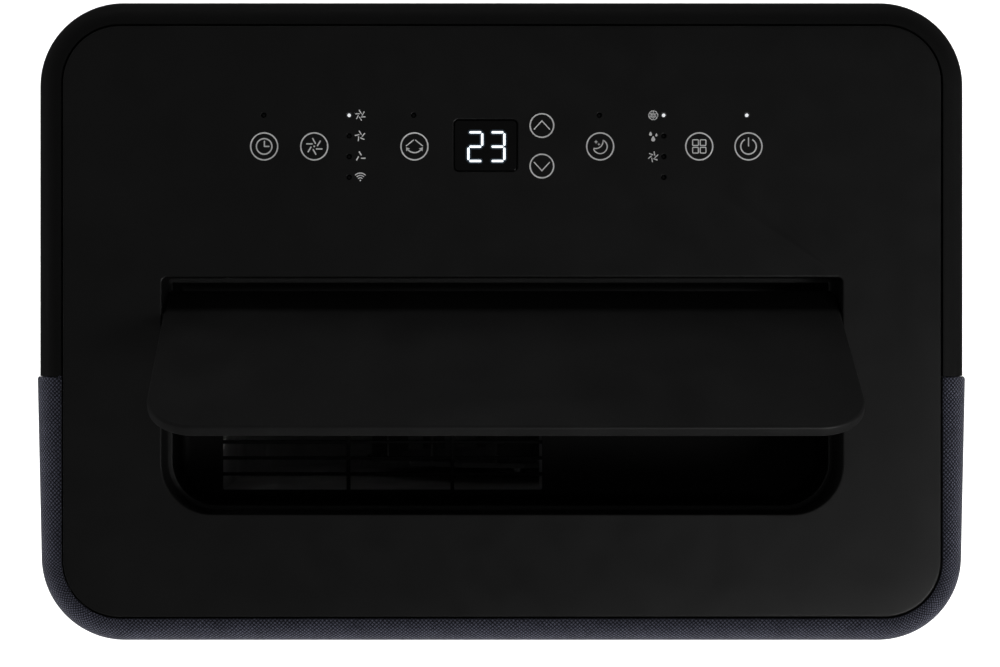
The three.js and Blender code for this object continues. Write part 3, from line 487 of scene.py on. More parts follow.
def grip_cutter(side):
    """A rounded slot through one side wall, for the fingers."""
    low, high = (np.array(c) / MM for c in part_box("right_grip"))
    half_y, half_z = (high[1] - low[1]) / 2 + 0.3, (high[2] - low[2]) / 2 + 0.3
    plan = rounded_plan(half_y, -half_z, half_z, 8, 8, 8)
    parts = facing(drawn_up(plan, -12, 12), "x")
    return moved(parts, (side * CASE_HALF, (low[1] + high[1]) / 2, (low[2] + high[2]) / 2))


# %% Rear casing
rear_outer = rear_plan(CASE_HALF, CASE_REAR, CASE_RADIUS)
rear_inner = rear_plan(RECESS_HALF, RECESS_REAR, RECESS_RADIUS)
rear_parts = capped_loft(rear_outer, rear_inner, casing_profile(SHELL_LOW, WALL, RIM_TOP))
rear = piece("rear_casing", rear_parts, CASE_BLACK, stands_for=["rear_shell"])
carved(
    rear,
    [
        window("upper_intake_grille"),
        window("lower_intake_grille"),
        round_cutter("exhaust_collar", -3.0, 64),
        round_cutter("upper_drain_plug", 3.1),
        round_cutter("cord_gland", -2.7),
        grip_cutter(1),
        grip_cutter(-1),
    ],
)
print("rear casing faces after cutting:", len(rear.data.polygons))

# %% [markdown]
# ## The cloth front
#
# The front half is a thinner moulding with a cloth stretched over it and glued behind its edges. The
# cloth stands just proud of the black rear half and its end is a small soft roll. Its own UV map is in
# metres along the wrap and up the wall, so the weave follows it over the shoulder and round the corners
# as real cloth does.

# %% Sizes of the front
FABRIC_HALF = span("front_fabric", X)[1] / MM
FABRIC_END = span("front_fabric", Y)[1] / MM
FABRIC_FRONT = span("front_fabric", Y)[0] / MM
TAPER = 1.9
CLOTH_THICK = 1.2
END_ROLL = 1.4  # radius of the soft roll at the cloth's two ends


def front_plan(half_width, narrowing, front, radius, end=FABRIC_END, side=14):
    """The U of the front half from its left end to its right end; its sides close in forwards."""
    narrow = half_width - narrowing
    near_end = end - END_ROLL * np.array([0, 0.05, 0.15, 0.35, 0.65, 1.0])
    y = np.concatenate([near_end, np.linspace(end - 4, front + radius, side)[:-1]])
    x = half_width - narrowing * (end - y) / (end - front - radius)
    left = arc((-narrow + radius, front + radius), radius, 180, 270, CORNER)
    middle = np.linspace(-narrow + radius, narrow - radius, 16)[1:-1]
    bottom = np.stack([middle, np.full(len(middle), front)], 1)
    right = arc((narrow - radius, front + radius), radius, 270, 360, CORNER)
    start, stop = np.stack([-x, y], 1), np.stack([x, y], 1)[::-1]
    return np.concatenate([start, left, bottom, right, stop])


front_outer = front_plan(FABRIC_HALF, TAPER, FABRIC_FRONT, CASE_RADIUS)
front_inner = front_plan(RECESS_HALF, 0.0, RECESS_FRONT, RECESS_RADIUS)


def shell_profile(skin, low):
    """Closed section of the front moulding, which lies a skin's thickness inside the cloth."""
    t = LOFT_WIDTH
    a = np.radians(np.linspace(0, 90, 9))
    inset = skin + (RIM_WIDTH - skin) * (1 - np.cos(a))
    rows = [(skin / t, low)]
    rows += [(i / t, RIM_TOP - RIM_DROP + (RIM_DROP - skin) * s) for i, s in zip(inset, np.sin(a))]
    under = LEDGE - 5
    rows += [(1.0, RIM_TOP - skin - 0.1), (1.0, LEDGE), (1 + LEDGE_REACH / t, LEDGE)]
    rows += [(1 + LEDGE_REACH / t, under), ((skin + WALL) / t, under), ((skin + WALL) / t, low)]
    return rows


front_parts = capped_loft(front_outer, front_inner, shell_profile(CLOTH_THICK + 0.3, SHELL_LOW))
piece("front_casing", front_parts, CASE_BLACK, stands_for=["front_shell"])
print("front plan points:", len(front_outer))

# %% [markdown]
# ## The weave
#
# The cloth is a coarse plain weave turned by 45 degrees, about a knot in every 1.4 mm, in a charcoal
# with a blue cast. Two waves along the diagonals of the UV map give a lattice of rounded bumps where
# threads lie on top, with dark gaps between them. Noise shifts the lattice a little and makes single
# threads lighter or darker. The same height drives the colour and the bump, so they agree. Cloth
# scatters light back at a glancing angle, which is the shader's sheen.

# %% Cloth material
WEAVE = 1.95 * MM


def cloth_material(name, light, dark, pitch=WEAVE):
    """Woven cloth from the UV map, whose unit is a metre."""
    material, tree, shader, _ = new_material(name)
    uv = add(tree, "UVMap", uv_map="cloth").outputs["UV"]
    wobble = add(tree, "TexNoise", {"Vector": uv, "Scale": 420.0, "Detail": 2.0}).outputs["Color"]
    centred = add(tree, "VectorMath", {0: wobble, 1: (0.5, 0.5, 0.5)}, operation="SUBTRACT")
    small = add(tree, "VectorMath", {0: centred.outputs[0], "Scale": 0.45 * pitch}, operation="SCALE")
    shifted = add(tree, "VectorMath", {0: uv, 1: small.outputs[0]}, operation="ADD").outputs[0]
    parted = add(tree, "SeparateXYZ", {0: shifted})
    u, v = parted.outputs[0], parted.outputs[1]

    def wave(sign):
        diagonal = add(tree, "Math", {0: u, 1: v}, operation="ADD" if sign > 0 else "SUBTRACT")
        angle = add(tree, "Math", {0: diagonal.outputs[0], 1: math.pi / pitch}, operation="MULTIPLY")
        lobe = add(tree, "Math", {0: angle.outputs[0]}, operation="SINE").outputs[0]
        return add(tree, "Math", {0: lobe}, operation="ABSOLUTE").outputs[0]

    crossing = add(tree, "Math", {0: wave(1), 1: wave(-1)}, operation="MULTIPLY").outputs[0]
    threads = noise(tree, uv, 1500.0, 1.0)
    height = add(tree, "Math", {0: crossing, 1: threads}, operation="MULTIPLY").outputs[0]
    share = ranged(tree, height, 0, 1, 0.05, 0.5)
    tint = mixed(tree, share, dark, light)
    cloud = ranged(tree, noise(tree, uv, 90.0, 3.0), 0.85, 1.15)
    shaded = add(tree, "VectorMath", {0: tint, "Scale": cloud}, operation="SCALE").outputs[0]
    tree.links.new(shaded, shader.inputs["Base Color"])
    shader.inputs["Roughness"].default_value = 0.9
    shader.inputs["Specular IOR Level"].default_value = 0.15
    shader.inputs["Sheen Weight"].default_value = 0.06
    shader.inputs["Sheen Roughness"].default_value = 0.4
    bumped(tree, shader, height, 0.0004)
    return material


CLOTH = cloth_material("charcoal_cloth", (0.084, 0.087, 0.118, 1), (0.007, 0.007, 0.010, 1))


def surface_normals(points):
    """Unit normals of a grid of points, from the cross product of its two directions."""
    along = np.gradient(points, axis=0)
    up = np.gradient(points, axis=1)
    normal = np.cross(along, up)
    return normal / np.maximum(np.linalg.norm(normal, axis=2), 1e-9)[:, :, None]


def set_uv(mesh, name, uv):
    """A UV map in metres from one (u, v) for each vertex."""
    layer = mesh.uv_layers.new(name=name)
    loops = np.empty(len(mesh.loops), int)
    mesh.loops.foreach_get("vertex_index", loops)
    layer.data.foreach_set("uv", uv[loops].astype(np.float32).ravel())


# %% Cloth over the front
def cloth_profile():
    """Open section of the cloth: tucked under at the bottom, up the wall, over and into the seam."""
    t = LOFT_WIDTH
    low = SHELL_LOW
    rows = [(1.0 / t, low), (0.3 / t, low + 0.2), (0.0, low + 0.8)]
    rows += [(0.0, z) for z in np.linspace(low + 30, RIM_TOP - RIM_DROP - 8, 12)]
    rows += shoulder(RIM_WIDTH, t, RIM_TOP, RIM_DROP, 24)
    rows += [(1 - 0.3 / t, RIM_TOP), (1 - 0.08 / t, RIM_TOP - 0.15), (1.0, RIM_TOP - 0.5)]
    rows += [(1.0, RIM_TOP - 2.5)]
    return rows


def end_roll(points):
    """A grid whose first and last rows curl inwards along their normals, in a quarter circle."""
    distance = np.clip((FABRIC_END - points[:, :, Y]) / END_ROLL, 0, 1)
    pull = END_ROLL * 0.7 * (1 - np.sqrt(1 - (1 - distance) ** 2))
    return points - pull[:, :, None] * surface_normals(points)


def lengths(points, axis):
    """Distance run along one direction of a grid, from its first row."""
    steps = np.linalg.norm(np.diff(points, axis=axis), axis=2)
    run = np.cumsum(steps, axis=axis)
    return np.insert(run, 0, 0, axis=axis)


cloth_flat = loft(front_outer, front_inner, cloth_profile())
rows, columns = cloth_flat.shape[:2]
wrap = lengths(cloth_flat[:, 3:4], 0) + np.zeros((1, columns))
rise = lengths(cloth_flat, 1)
cloth = piece(
    "cloth_front", [grid(end_roll(cloth_flat))], CLOTH, stands_for=["front_fabric"], weld=False
)
set_uv(cloth.data, "cloth", np.stack([wrap, rise], 2).reshape(-1, 2) * MM)
thicken = cloth.modifiers.new("thickness", "SOLIDIFY")
thicken.thickness = CLOTH_THICK * MM
thicken.offset = -1

# %% [markdown]
# ## The top panel
#
# The panel is one flat moulding. Near its outer edge it falls away very gently, as moulded lids do so
# that they don't look sunken, and then turns over a small radius into the seam. Round the outlet
# it has a rolled lip and a skirt that runs down into the duct. The flat part is one region cut
# into triangles round its openings: outlet, display window and twelve lamp holes.

# %% Sizes of the panel
OUTLET_HALF, OUTLET_FRONT, OUTLET_REAR = 160.4, -90.7, 20.8
OUTLET_FRONT_RADIUS, OUTLET_REAR_RADIUS = 23.6, 2.5
SKIRT_LOW = span("top_panel", Z)[0] / MM
SKIRT_SHEET = 2.5
PANEL_THICK = 3.5
LENS_CENTRE = sum((Vector(c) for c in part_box("display_lens")), Vector()) / 2 / MM
WINDOW_HALF = (span("display_lens", X)[1] - span("display_lens", X)[0]) / MM / 2 + 0.3
WINDOW_TALL = (span("display_lens", Y)[1] - span("display_lens", Y)[0]) / MM / 2 + 0.3
WINDOW_RADIUS = 2.4
LAMP_RADIUS = 1.25
LAMP_TOP_ROW = 97.2
LAMP_PITCH = 9.75
FIELD_LAMPS = [(x, LAMP_TOP_ROW) for x in (-112.3, -41.7, 45.8, 115.4)]
COLUMN_LAMPS = [(x, LAMP_TOP_ROW - k * LAMP_PITCH) for x in (-72.1, 76.2) for k in range(4)]
LAMPS = FIELD_LAMPS + COLUMN_LAMPS


def outlet_plan(grow=0.0, steps=20):
    """The outlet's outline, larger all round by grow."""
    return rounded_plan(
        OUTLET_HALF + grow,
        OUTLET_FRONT - grow,
        OUTLET_REAR + grow,
        OUTLET_FRONT_RADIUS + grow,
        OUTLET_REAR_RADIUS + grow,
        steps,
    )


def panel_plan(inset):
    """The panel's outline, smaller all round by inset."""
    radius = max(PANEL_RADIUS - inset, 4.0)
    return rounded_plan(PANEL_HALF - inset, PANEL_FRONT + inset, PANEL_REAR - inset, radius, radius, 28)


def rings(plans, heights):
    """A grid between closed outlines, each at its own height."""
    stacked = [np.column_stack([plan, np.full(len(plan), z)]) for plan, z in zip(plans, heights)]
    return grid(np.stack(stacked, 1), wrap_rows=True)


def round_over(radius, steps=5):
    """Insets and drops of a quarter circle, from the vertical side to the flat top."""
    a = np.radians(np.linspace(0, 90, steps + 1))
    return list(zip(radius * (1 - np.cos(a)), radius * (1 - np.sin(a))))


# %% Top panel
CROWN_WIDTH = 20.0  # the panel's surface falls away over this width at its outer edge
CROWN_DROP = 0.4
EDGE_RADIUS = 0.9
LIP_RADIUS = 0.8


def crown(inset):
    """How far the surface has fallen at a distance from the panel's edge: a soft quarter wave."""
    share = np.clip(1 - (inset - EDGE_RADIUS) / CROWN_WIDTH, 0, 1)
    return CROWN_DROP * share**2.2


insets = [i for i, _ in round_over(EDGE_RADIUS)]
insets += list(EDGE_RADIUS + CROWN_WIDTH * np.linspace(0.04, 1, 14))
drops = [d + CROWN_DROP for _, d in round_over(EDGE_RADIUS)] + [crown(i) for i in insets[6:]]
edge_plans = [panel_plan(0.0), *[panel_plan(i) for i in insets]]
edge_heights = [LEDGE + 0.3, *[TOP_MM - d for d in drops]]

GUARD = 0.15  # narrow flat ring round each opening, which keeps its roll out of the flat shading


def opening_rolls(plan_at, radius, steps=5):
    """Outlines and heights from the flat surface over a rolled edge; plan_at(grow) is the opening."""
    rolled = list(reversed(round_over(radius, steps)))
    plans = [plan_at(radius + GUARD), *[plan_at(g) for g, _ in rolled]]
    return plans, [TOP_MM, *[TOP_MM - d for _, d in rolled]]


def window_plan(grow):
    """The display window's outline, larger all round by grow."""
    radius = WINDOW_RADIUS + grow
    plan = rounded_plan(WINDOW_HALF + grow, -WINDOW_TALL - grow, WINDOW_TALL + grow, radius, radius, 8)
    return plan + np.array([LENS_CENTRE.x, LENS_CENTRE.y])


WINDOW_ROLL = 0.6
LAMP_ROLL = 0.2
UNDERSIDE = TOP_MM - PANEL_THICK
LIP_WIDTH = 2.0
PANEL_FOOT = LEDGE + 0.3

lip_plans, lip_heights = opening_rolls(outlet_plan, LIP_RADIUS)
lip_plans += [outlet_plan(g) for g in (0.0, 0.4, SKIRT_SHEET - 0.4, SKIRT_SHEET, SKIRT_SHEET)]
lip_heights += [SKIRT_LOW + 0.4, SKIRT_LOW, SKIRT_LOW, SKIRT_LOW + 0.4, UNDERSIDE]

window_plans, window_heights = opening_rolls(window_plan, WINDOW_ROLL)
lamp_tops, lamp_feet, lamp_rings = [], [], []
for place in LAMPS:
    plans, heights = opening_rolls(lambda g, c=place: circle_plan(c, LAMP_RADIUS + g, 20), LAMP_ROLL, 2)
    lamp_tops.append(plans[0])
    lamp_feet.append(plans[-1])
    lamp_rings.append(rings([*plans, plans[-1]], [*heights, UNDERSIDE]))

foot_plans = [panel_plan(0.0), panel_plan(LIP_WIDTH), panel_plan(LIP_WIDTH)]
piece(
    "touch_panel",
    [
        rings(edge_plans, edge_heights),
        rings(lip_plans, lip_heights),
        rings([*window_plans, window_plans[-1]], [*window_heights, UNDERSIDE]),
        *lamp_rings,
        rings(foot_plans, [PANEL_FOOT, PANEL_FOOT, UNDERSIDE]),
        flat_region(edge_plans[-1], [lip_plans[0], window_plans[0], *lamp_tops], TOP_MM),
        flat_region(foot_plans[-1], [lip_plans[-1], window_plans[-1], *lamp_feet], UNDERSIDE),
    ],
    PANEL_BLACK,
    stands_for=["top_panel"],
)
print("openings in the panel:", 2 + len(LAMPS))

# %% [markdown]
# ## Display and lamps
#
# The display is a smoked window set a little below the panel, with two glowing digits behind it. Each
# digit has seven segments, and each segment is a bar with round ends. Real ones shine through the
# window with a faint blue spill round them, so here a lit bar lies on the window over a wider and much
# dimmer one. The lamps are small light guides at the bottom of drilled holes. Three have a lit core.

# %% Lines with a width
LIFT = 0.03  # thickness of anything printed on the panel


def ribbon(path, width, base, thick=LIFT):
    """A flat line of constant width along an open path, with round ends, as a thin solid."""
    path = np.asarray(path, float)
    run = np.gradient(path, axis=0)
    run /= np.linalg.norm(run, axis=1)[:, None]
    side = np.stack([-run[:, 1], run[:, 0]], 1) * width / 2
    if len(path) > 2:
        before, after = path[1:-1] - path[:-2], path[2:] - path[1:-1]
        before /= np.linalg.norm(before, axis=1)[:, None]
        after /= np.linalg.norm(after, axis=1)[:, None]
        along = before + after
        along /= np.linalg.norm(along, axis=1)[:, None]
        reach = 1 / np.maximum((along * before).sum(1), 0.4)
        side[1:-1] = np.stack([-along[:, 1], along[:, 0]], 1) * (width / 2 * reach)[:, None]

    def cap(centre, start):
        angle = start + np.linspace(0, math.pi, 7)[1:-1]
        return centre + width / 2 * np.stack([np.cos(angle), np.sin(angle)], 1)

    first, last = (math.atan2(d[1], d[0]) for d in (run[0], run[-1]))
    outline = [path - side, cap(path[-1], last - math.pi / 2)]
    outline += [(path + side)[::-1], cap(path[0], first + math.pi / 2)]
    return drawn_up(np.concatenate(outline), base, base + thick)


def hoop(centre, radius, width, base, thick=LIFT, sides=64):
    """A flat ring as a thin solid: four circles joined round."""
    circles = [circle_plan(centre, radius + s * width / 2, sides) for s in (1, 1, -1, -1)]
    points = [np.column_stack([c, np.full(sides, z)]) for c, z in zip(circles, (0, thick, thick, 0))]
    return [grid(np.stack(points, 1) + [0, 0, base], wrap_rows=True, wrap_columns=True)]


# %% Emission
def glowing(name, colour, strength):
    """A lit surface, which is dark in itself and shines in its own colour."""
    material, tree, shader, place = new_material(name)
    shader.inputs["Base Color"].default_value = grey(0.01)
    shader.inputs["Emission Color"].default_value = (*colour, 1)
    level = ranged(tree, noise(tree, place, 900.0), strength * 0.85, strength * 1.1)
    tree.links.new(level, shader.inputs["Emission Strength"])
    return material


DIGIT_LIGHT = glowing("digit_light", (0.86, 0.94, 1.0), 1.6)
DIGIT_SPILL = glowing("digit_spill", (0.35, 0.55, 0.8), 0.035)
LAMP_LIGHT = glowing("lamp_light", (0.95, 0.97, 1.0), 0.9)
SMOKED = plastic("smoked_window", 0.0008, 0.16, grain=400.0, depth=0.000002, specular=0.35)

# %% Display window
LENS_TOP = span("display_lens", Z)[1] / MM
LENS_LOW, LENS_GAP = span("display_lens", Z)[0] / MM, 0.4
lens = drawn_up(window_plan(-LENS_GAP), LENS_LOW, LENS_TOP, 0.3, 3)
piece("display_window", lens, SMOKED, stands_for=["display_lens"])

# %% Digits
DIGIT_HALF_HEIGHT = 6.75
DIGIT_HALF_WIDTH = 3.25
SEGMENT = 1.1
SEGMENT_GAP = 0.95
SEGMENTS = {
    "top": ((-1, 1), (1, 1)),
    "middle": ((-1, 0), (1, 0)),
    "bottom": ((-1, -1), (1, -1)),
    "upper_right": ((1, 1), (1, 0)),
    "lower_right": ((1, 0), (1, -1)),
    "upper_left": ((-1, 1), (-1, 0)),
    "lower_left": ((-1, 0), (-1, -1)),
}
TWO = ("top", "upper_right", "middle", "lower_left", "bottom")
THREE = ("top", "upper_right", "middle", "lower_right", "bottom")
DIGITS = ((-12.6, TWO), (-2.15, THREE))
DIGIT_Y = 82.4


def digit(x, lit, width, base):
    """The lit segments of one digit centred on x, as bars that stop short of each corner."""
    bars = []
    for name in lit:
        ends = np.array(SEGMENTS[name], float) * (DIGIT_HALF_WIDTH, DIGIT_HALF_HEIGHT)
        step = (ends[1] - ends[0]) / np.linalg.norm(ends[1] - ends[0])
        ends += np.outer((SEGMENT_GAP, -SEGMENT_GAP), step)
        bars += ribbon(ends + (x, DIGIT_Y), width, base)
    return bars


spill = [part for x, lit in DIGITS for part in digit(x, lit, 2.3 * SEGMENT, LENS_TOP + 0.01)]
bars = [part for x, lit in DIGITS for part in digit(x, lit, SEGMENT, LENS_TOP + 0.05)]
piece("digit_spill", spill, DIGIT_SPILL, weld=False)
piece("digits", bars, DIGIT_LIGHT, weld=False)

# %% Lamps
LAMP_LIT = (FIELD_LAMPS[3], COLUMN_LAMPS[0], COLUMN_LAMPS[4])
LAMP_CORE = 0.8  # radius of the lit core, which stands out of the dark guide round it


def light_guide(place, top, crown_height, radius=LAMP_RADIUS - 0.05):
    """A round light guide in a lamp hole, with a domed end."""
    a = np.radians(np.linspace(0, 88, 6))
    dome = [(radius * math.cos(t), top - crown_height + crown_height * math.sin(t)) for t in a]
    profile = [(0.02, UNDERSIDE), (radius, UNDERSIDE), *dome]
    return moved(turned_part(profile, 20), (*place, 0))


lit = [part for place in LAMP_LIT for part in light_guide(place, TOP_MM - 0.1, 0.4, LAMP_CORE)]
dark = [part for place in LAMPS for part in light_guide(place, TOP_MM - 1.2, 0.4)]
piece("lit_lamps", lit, LAMP_LIGHT)
piece("dark_lamps", dark, SMOKED)

# %% [markdown]
# ## Touch symbols
#
# The fields are printed, flush and without seams, so each symbol is a thin layer of ink on the panel.
# Every symbol is made of a few strokes, and a stroke is a path with a width. Signs that turn, such as
# fan blades, are one stroke repeated round a centre.

# %% Ink
PRINT_GREY = plastic("print_grey", 0.8, 0.6, grain=1500.0, depth=0.000005, specular=0.2)
INK = TOP_MM - 0.01
STROKE = 0.66
FINE = 0.55


def at(centre, path):
    """A path moved to a centre."""
    return np.asarray(path, float) + np.array(centre)


def turned_path(path, degrees):
    """A path turned about the origin."""
    c, s = math.cos(math.radians(degrees)), math.sin(math.radians(degrees))
    return np.asarray(path, float) @ np.array([[c, s], [-s, c]])


def stroke(centre, path, width=STROKE):
    """One printed stroke along a path about a centre."""
    return ribbon(at(centre, path), width, INK)


def filled(centre, outline):
    """A printed area inside an outline about a centre."""
    return drawn_up(at(centre, outline), INK, INK + LIFT)


def ring(centre, radius, width=STROKE):
    """A printed ring."""
    return hoop(centre, radius, width, INK)


def blades(centre, count, blade, width, turn=0.0):
    """One stroke, repeated count times round a centre."""
    angles = turn - 360.0 * np.arange(count) / count
    return [part for a in angles for part in stroke(centre, turned_path(blade, a), width)]


def star(centre, reach):
    """A four-pointed star: eight points, near and far in turn."""
    radius = np.array([reach, reach * 0.36] * 4)
    angle = np.radians(90 + 45 * np.arange(8))
    return filled(centre, np.stack([radius * np.cos(angle), radius * np.sin(angle)], 1))


def drop(centre, width, height):
    """A drop: a round foot that narrows to a point, as sin(a) times a falling share."""
    a = np.linspace(0, TAU, 25)[:-1]
    share = (1 - np.cos(a)) / 2
    x = width / 2 * 1.3 * np.sin(a) * (1 - 0.65 * (1 - share))
    return filled(centre, np.stack([x, height * (0.5 - share)], 1)[::-1])


# %% The symbols in the fields
FIELD_Y = 82.45
FIELD_RING = 6.35
TIMER, FAN, SWING, SLEEP, MODE, POWER = (
    (x, FIELD_Y) for x in (-112.1, -88.5, -41.3, 46.2, 92.9, 116.1)
)
LARGE_BLADE = ((-0.75, 3.7), (0.5, 1.5))


def timer_sign(c):
    """A clock: a ring and two hands."""
    return ring(c, 3.65, STROKE) + stroke(c, [(0.1, 2.4), (0.1, 0), (2.2, 0)], FINE + 0.1)


def fan_sign(c):
    """Six blades round a dot."""
    return blades(c, 6, LARGE_BLADE, STROKE) + filled(c, circle_plan((0, 0), 0.42, 12))


def swing_sign(c):
    """The flap's swing: a roof of two strokes over an arc with an arrowhead at each end."""
    parts = stroke(c, arc((0, 1.1), 4.05, 222, 318, 16), FINE + 0.1)
    for side in (-1, 1):
        parts += stroke(c, [(3.8 * side, 0.3), (0.45 * side, 2.95)], FINE)
        head = np.array([(4.0, -0.4), (3.75, -2.3), (2.1, -0.95)])[::-side] * (side, 1)
        parts += filled(c, head[::-1])
    return parts


def chevron_sign(c, up):
    """A chevron that points up (1) or down (-1)."""
    return stroke(c, [(-3.6, -1.7 * up), (0, 2.2 * up), (3.6, -1.7 * up)], FINE)


def sleep_sign(c):
    """The outline of a crescent, two arcs that meet in two points, and two stars."""
    outer = arc((0, -0.1), 3.3, 66, -156, 30)
    centre = np.array((-2.15, 2.5))
    first, last = (np.arctan2(*(p - centre)[::-1]) for p in (outer[-1], outer[0]))
    inner = arc(centre, float(np.linalg.norm(outer[0] - centre)), math.degrees(first), math.degrees(last), 16)
    parts = stroke(c, outer, FINE) + stroke(c, inner, FINE)
    return parts + star(at(c, (-1.95, 2.15)), 1.0) + star(at(c, (-0.6, 1.0)), 0.75)


def mode_sign(c):
    """Four rounded squares."""
    parts = []
    for x, y in ((-1, -1), (-1, 1), (1, -1), (1, 1)):
        plans = [rounded_plan(r, -r, r, r - 0.95, r - 0.95, 4) for r in (1.6, 1.6, 1.1, 1.1)]
        points = [np.column_stack([p, np.full(len(p), z)]) for p, z in zip(plans, (0, LIFT, LIFT, 0))]
        square = grid(np.stack(points, 1), wrap_rows=True, wrap_columns=True)
        parts += moved([square], (c[0] + 1.78 * x, c[1] + 1.78 * y, INK))
    return parts


def power_sign(c):
    """An arc open at its top and a bar."""
    return stroke(c, arc((0, 0), 3.65, 122, 418, 40), STROKE) + stroke(c, [(0, 4.0), (0, 0.2)], FINE)


STEP_X, STEP_UP, STEP_DOWN, STEP_RING = 18.75, 92.3, 73.2, 5.55
signs = timer_sign(TIMER) + fan_sign(FAN) + swing_sign(SWING) + sleep_sign(SLEEP)
signs += mode_sign(MODE) + power_sign(POWER)
signs += chevron_sign((STEP_X, STEP_UP), 1) + chevron_sign((STEP_X, STEP_DOWN), -1)
for field in (TIMER, FAN, SWING, SLEEP, MODE, POWER):
    signs += ring(field, FIELD_RING)
for height in (STEP_UP, STEP_DOWN):
    signs += ring((STEP_X, height), STEP_RING)
piece("field_symbols", signs, PRINT_GREY, weld=False)

# %% The small symbols beside the lamps
LEFT_SIGNS, RIGHT_SIGNS = -66.8, 71.2
SMALL_BLADE = ((-0.5, 2.3), (0.4, 0.85))


def sign_height(row):
    """Height of a small symbol's row, which follows its lamp."""
    return LAMP_TOP_ROW - 0.1 - row * LAMP_PITCH


def signal_sign(c):
    """Three arcs over a dot."""
    parts = filled(at(c, (0, -1.9)), circle_plan((0, 0), 0.38, 12))
    for radius in (1.25, 2.35, 3.45):
        parts += stroke(at(c, (0, -1.9)), arc((0, 0), radius, 47, 133, 12), 0.45)
    return parts


def frost_sign(c):
    """Six forked spokes in a broken ring."""
    parts = blades(c, 6, ((0, 2.1), (0, 0.5)), 0.4)
    for turn in 30 + 60.0 * np.arange(6):
        parts += stroke(c, turned_path(arc((0, 0), 2.1, 68, 112, 6), turn), 0.42)
        parts += stroke(c, turned_path([(0, 1.0), (0, 1.25)], turn), 0.35)
    return parts


def drops_sign(c):
    """Three drops."""
    places = (((-1.25, 1.05), 1.4, 2.0), ((1.5, 0.5), 1.1, 1.5), ((0, -1.3), 2.0, 2.5))
    return [part for place, w, h in places for part in drop(at(c, place), w, h)]


small = blades((LEFT_SIGNS, sign_height(0)), 6, SMALL_BLADE, 0.5)
small += blades((LEFT_SIGNS, sign_height(1)), 5, SMALL_BLADE, 0.55)
small += blades((LEFT_SIGNS, sign_height(2)), 3, SMALL_BLADE, 0.6)
small += signal_sign((LEFT_SIGNS, sign_height(3) + 0.5))
small += frost_sign((RIGHT_SIGNS, sign_height(0)))
small += drops_sign((RIGHT_SIGNS, sign_height(1)))
small += blades((RIGHT_SIGNS, sign_height(2)), 6, SMALL_BLADE, 0.5, -22.0)
piece("small_symbols", small, PRINT_GREY, weld=False)

# %% [markdown]
# ## The flap
#
# The flap is one moulded plate with a rounded plan and softened edges, stiffened by ribs below. It is
# drawn lying closed about its own axis, where its numbers are simple, and is then turned to the angle
# at which it stands in the frame. It rides on the flap's own body, so every pose moves it.

# %% Sizes of the flap
FLAP_AXIS_Y, FLAP_AXIS_Z = 2.1, 696.5
FLAP_OPEN = 56.0
FLAP_HALF = OUTLET_HALF - 0.8
FLAP_FRONT, FLAP_REAR = OUTLET_FRONT + 0.8 - FLAP_AXIS_Y, 18.0
FLAP_LOW, FLAP_HIGH = -2.0, 3.5
FLAP_EDGE = 1.3


def standing(parts):
    """Parts drawn about the flap's axis as if it were closed, turned to where the flap stands."""
    return tilted(moved(parts, (0, FLAP_AXIS_Y, FLAP_AXIS_Z)), -FLAP_OPEN, (FLAP_AXIS_Y, FLAP_AXIS_Z))


def bar_along_x(y, z, radius, start, stop, sides=24):
    """A round bar along X with softened ends."""
    return moved(facing(drawn_up(circle_plan((0, 0), radius, sides), start, stop, 0.25, 2), "x"), (0, y, z))


# %% Flap
flap_plan = rounded_plan(FLAP_HALF, FLAP_FRONT, FLAP_REAR, OUTLET_FRONT_RADIUS - 0.8, 2.2, 28)


def flap_shell():
    """The plate: its two rims are quarter circles, and a guard ring keeps the flats flat."""
    a = np.radians(np.linspace(0, 90, 7))
    inset = [FLAP_EDGE * (1 - math.sin(t)) for t in a] + [FLAP_EDGE * (1 - math.cos(t)) for t in a]
    height = [FLAP_LOW + FLAP_EDGE * (1 - math.cos(t)) for t in a]
    height += [FLAP_HIGH - FLAP_EDGE * (1 - math.sin(t)) for t in a]
    inset = [FLAP_EDGE + GUARD, *inset, FLAP_EDGE + GUARD]
    height = [FLAP_LOW, *height, FLAP_HIGH]
    plans = [grown(flap_plan, -i) for i in inset]
    shell = rings(plans, height)
    return [shell, flat_region(plans[0], [], FLAP_LOW), flat_region(plans[-1], [], FLAP_HIGH)]


flap_parts = flap_shell()
for x in (-90, -30, 30, 90):
    flap_parts += box_part((x - 1, x + 1), (FLAP_FRONT + 14, 3), (FLAP_LOW - 2.5, FLAP_LOW + 1), 0.4)
PIN_RADIUS = 1.8
LEVER_START, LEVER_STOP = -166.0, -163.5  # the lever rides outside the skirt, left of the outlet
flap_parts += bar_along_x(0, 0, PIN_RADIUS, OUTLET_HALF - 4, OUTLET_HALF + SKIRT_SHEET + 0.5)
flap_parts += bar_along_x(0, 0, PIN_RADIUS, LEVER_START, 4 - OUTLET_HALF)
LEVER_LEAN = math.radians(FLAP_OPEN - 21)
LEVER = 10.0
lever_y, lever_z = LEVER * math.sin(LEVER_LEAN), -LEVER * math.cos(LEVER_LEAN)
lever_path = np.array([(0, 0), (lever_y, lever_z)])
flap_parts += facing(ribbon(lever_path, 2 * PIN_RADIUS, LEVER_START, LEVER_STOP - LEVER_START), "x")
flap_parts += bar_along_x(lever_y, lever_z, 2.6, LEVER_START, LEVER_STOP)
flap_parts += bar_along_x(lever_y, lever_z, 1.5, LEVER_START - 2.8, LEVER_STOP)
piece("flap_plate", standing(flap_parts), FLAP_BLACK, "flap", stands_for=["outlet_flap"])
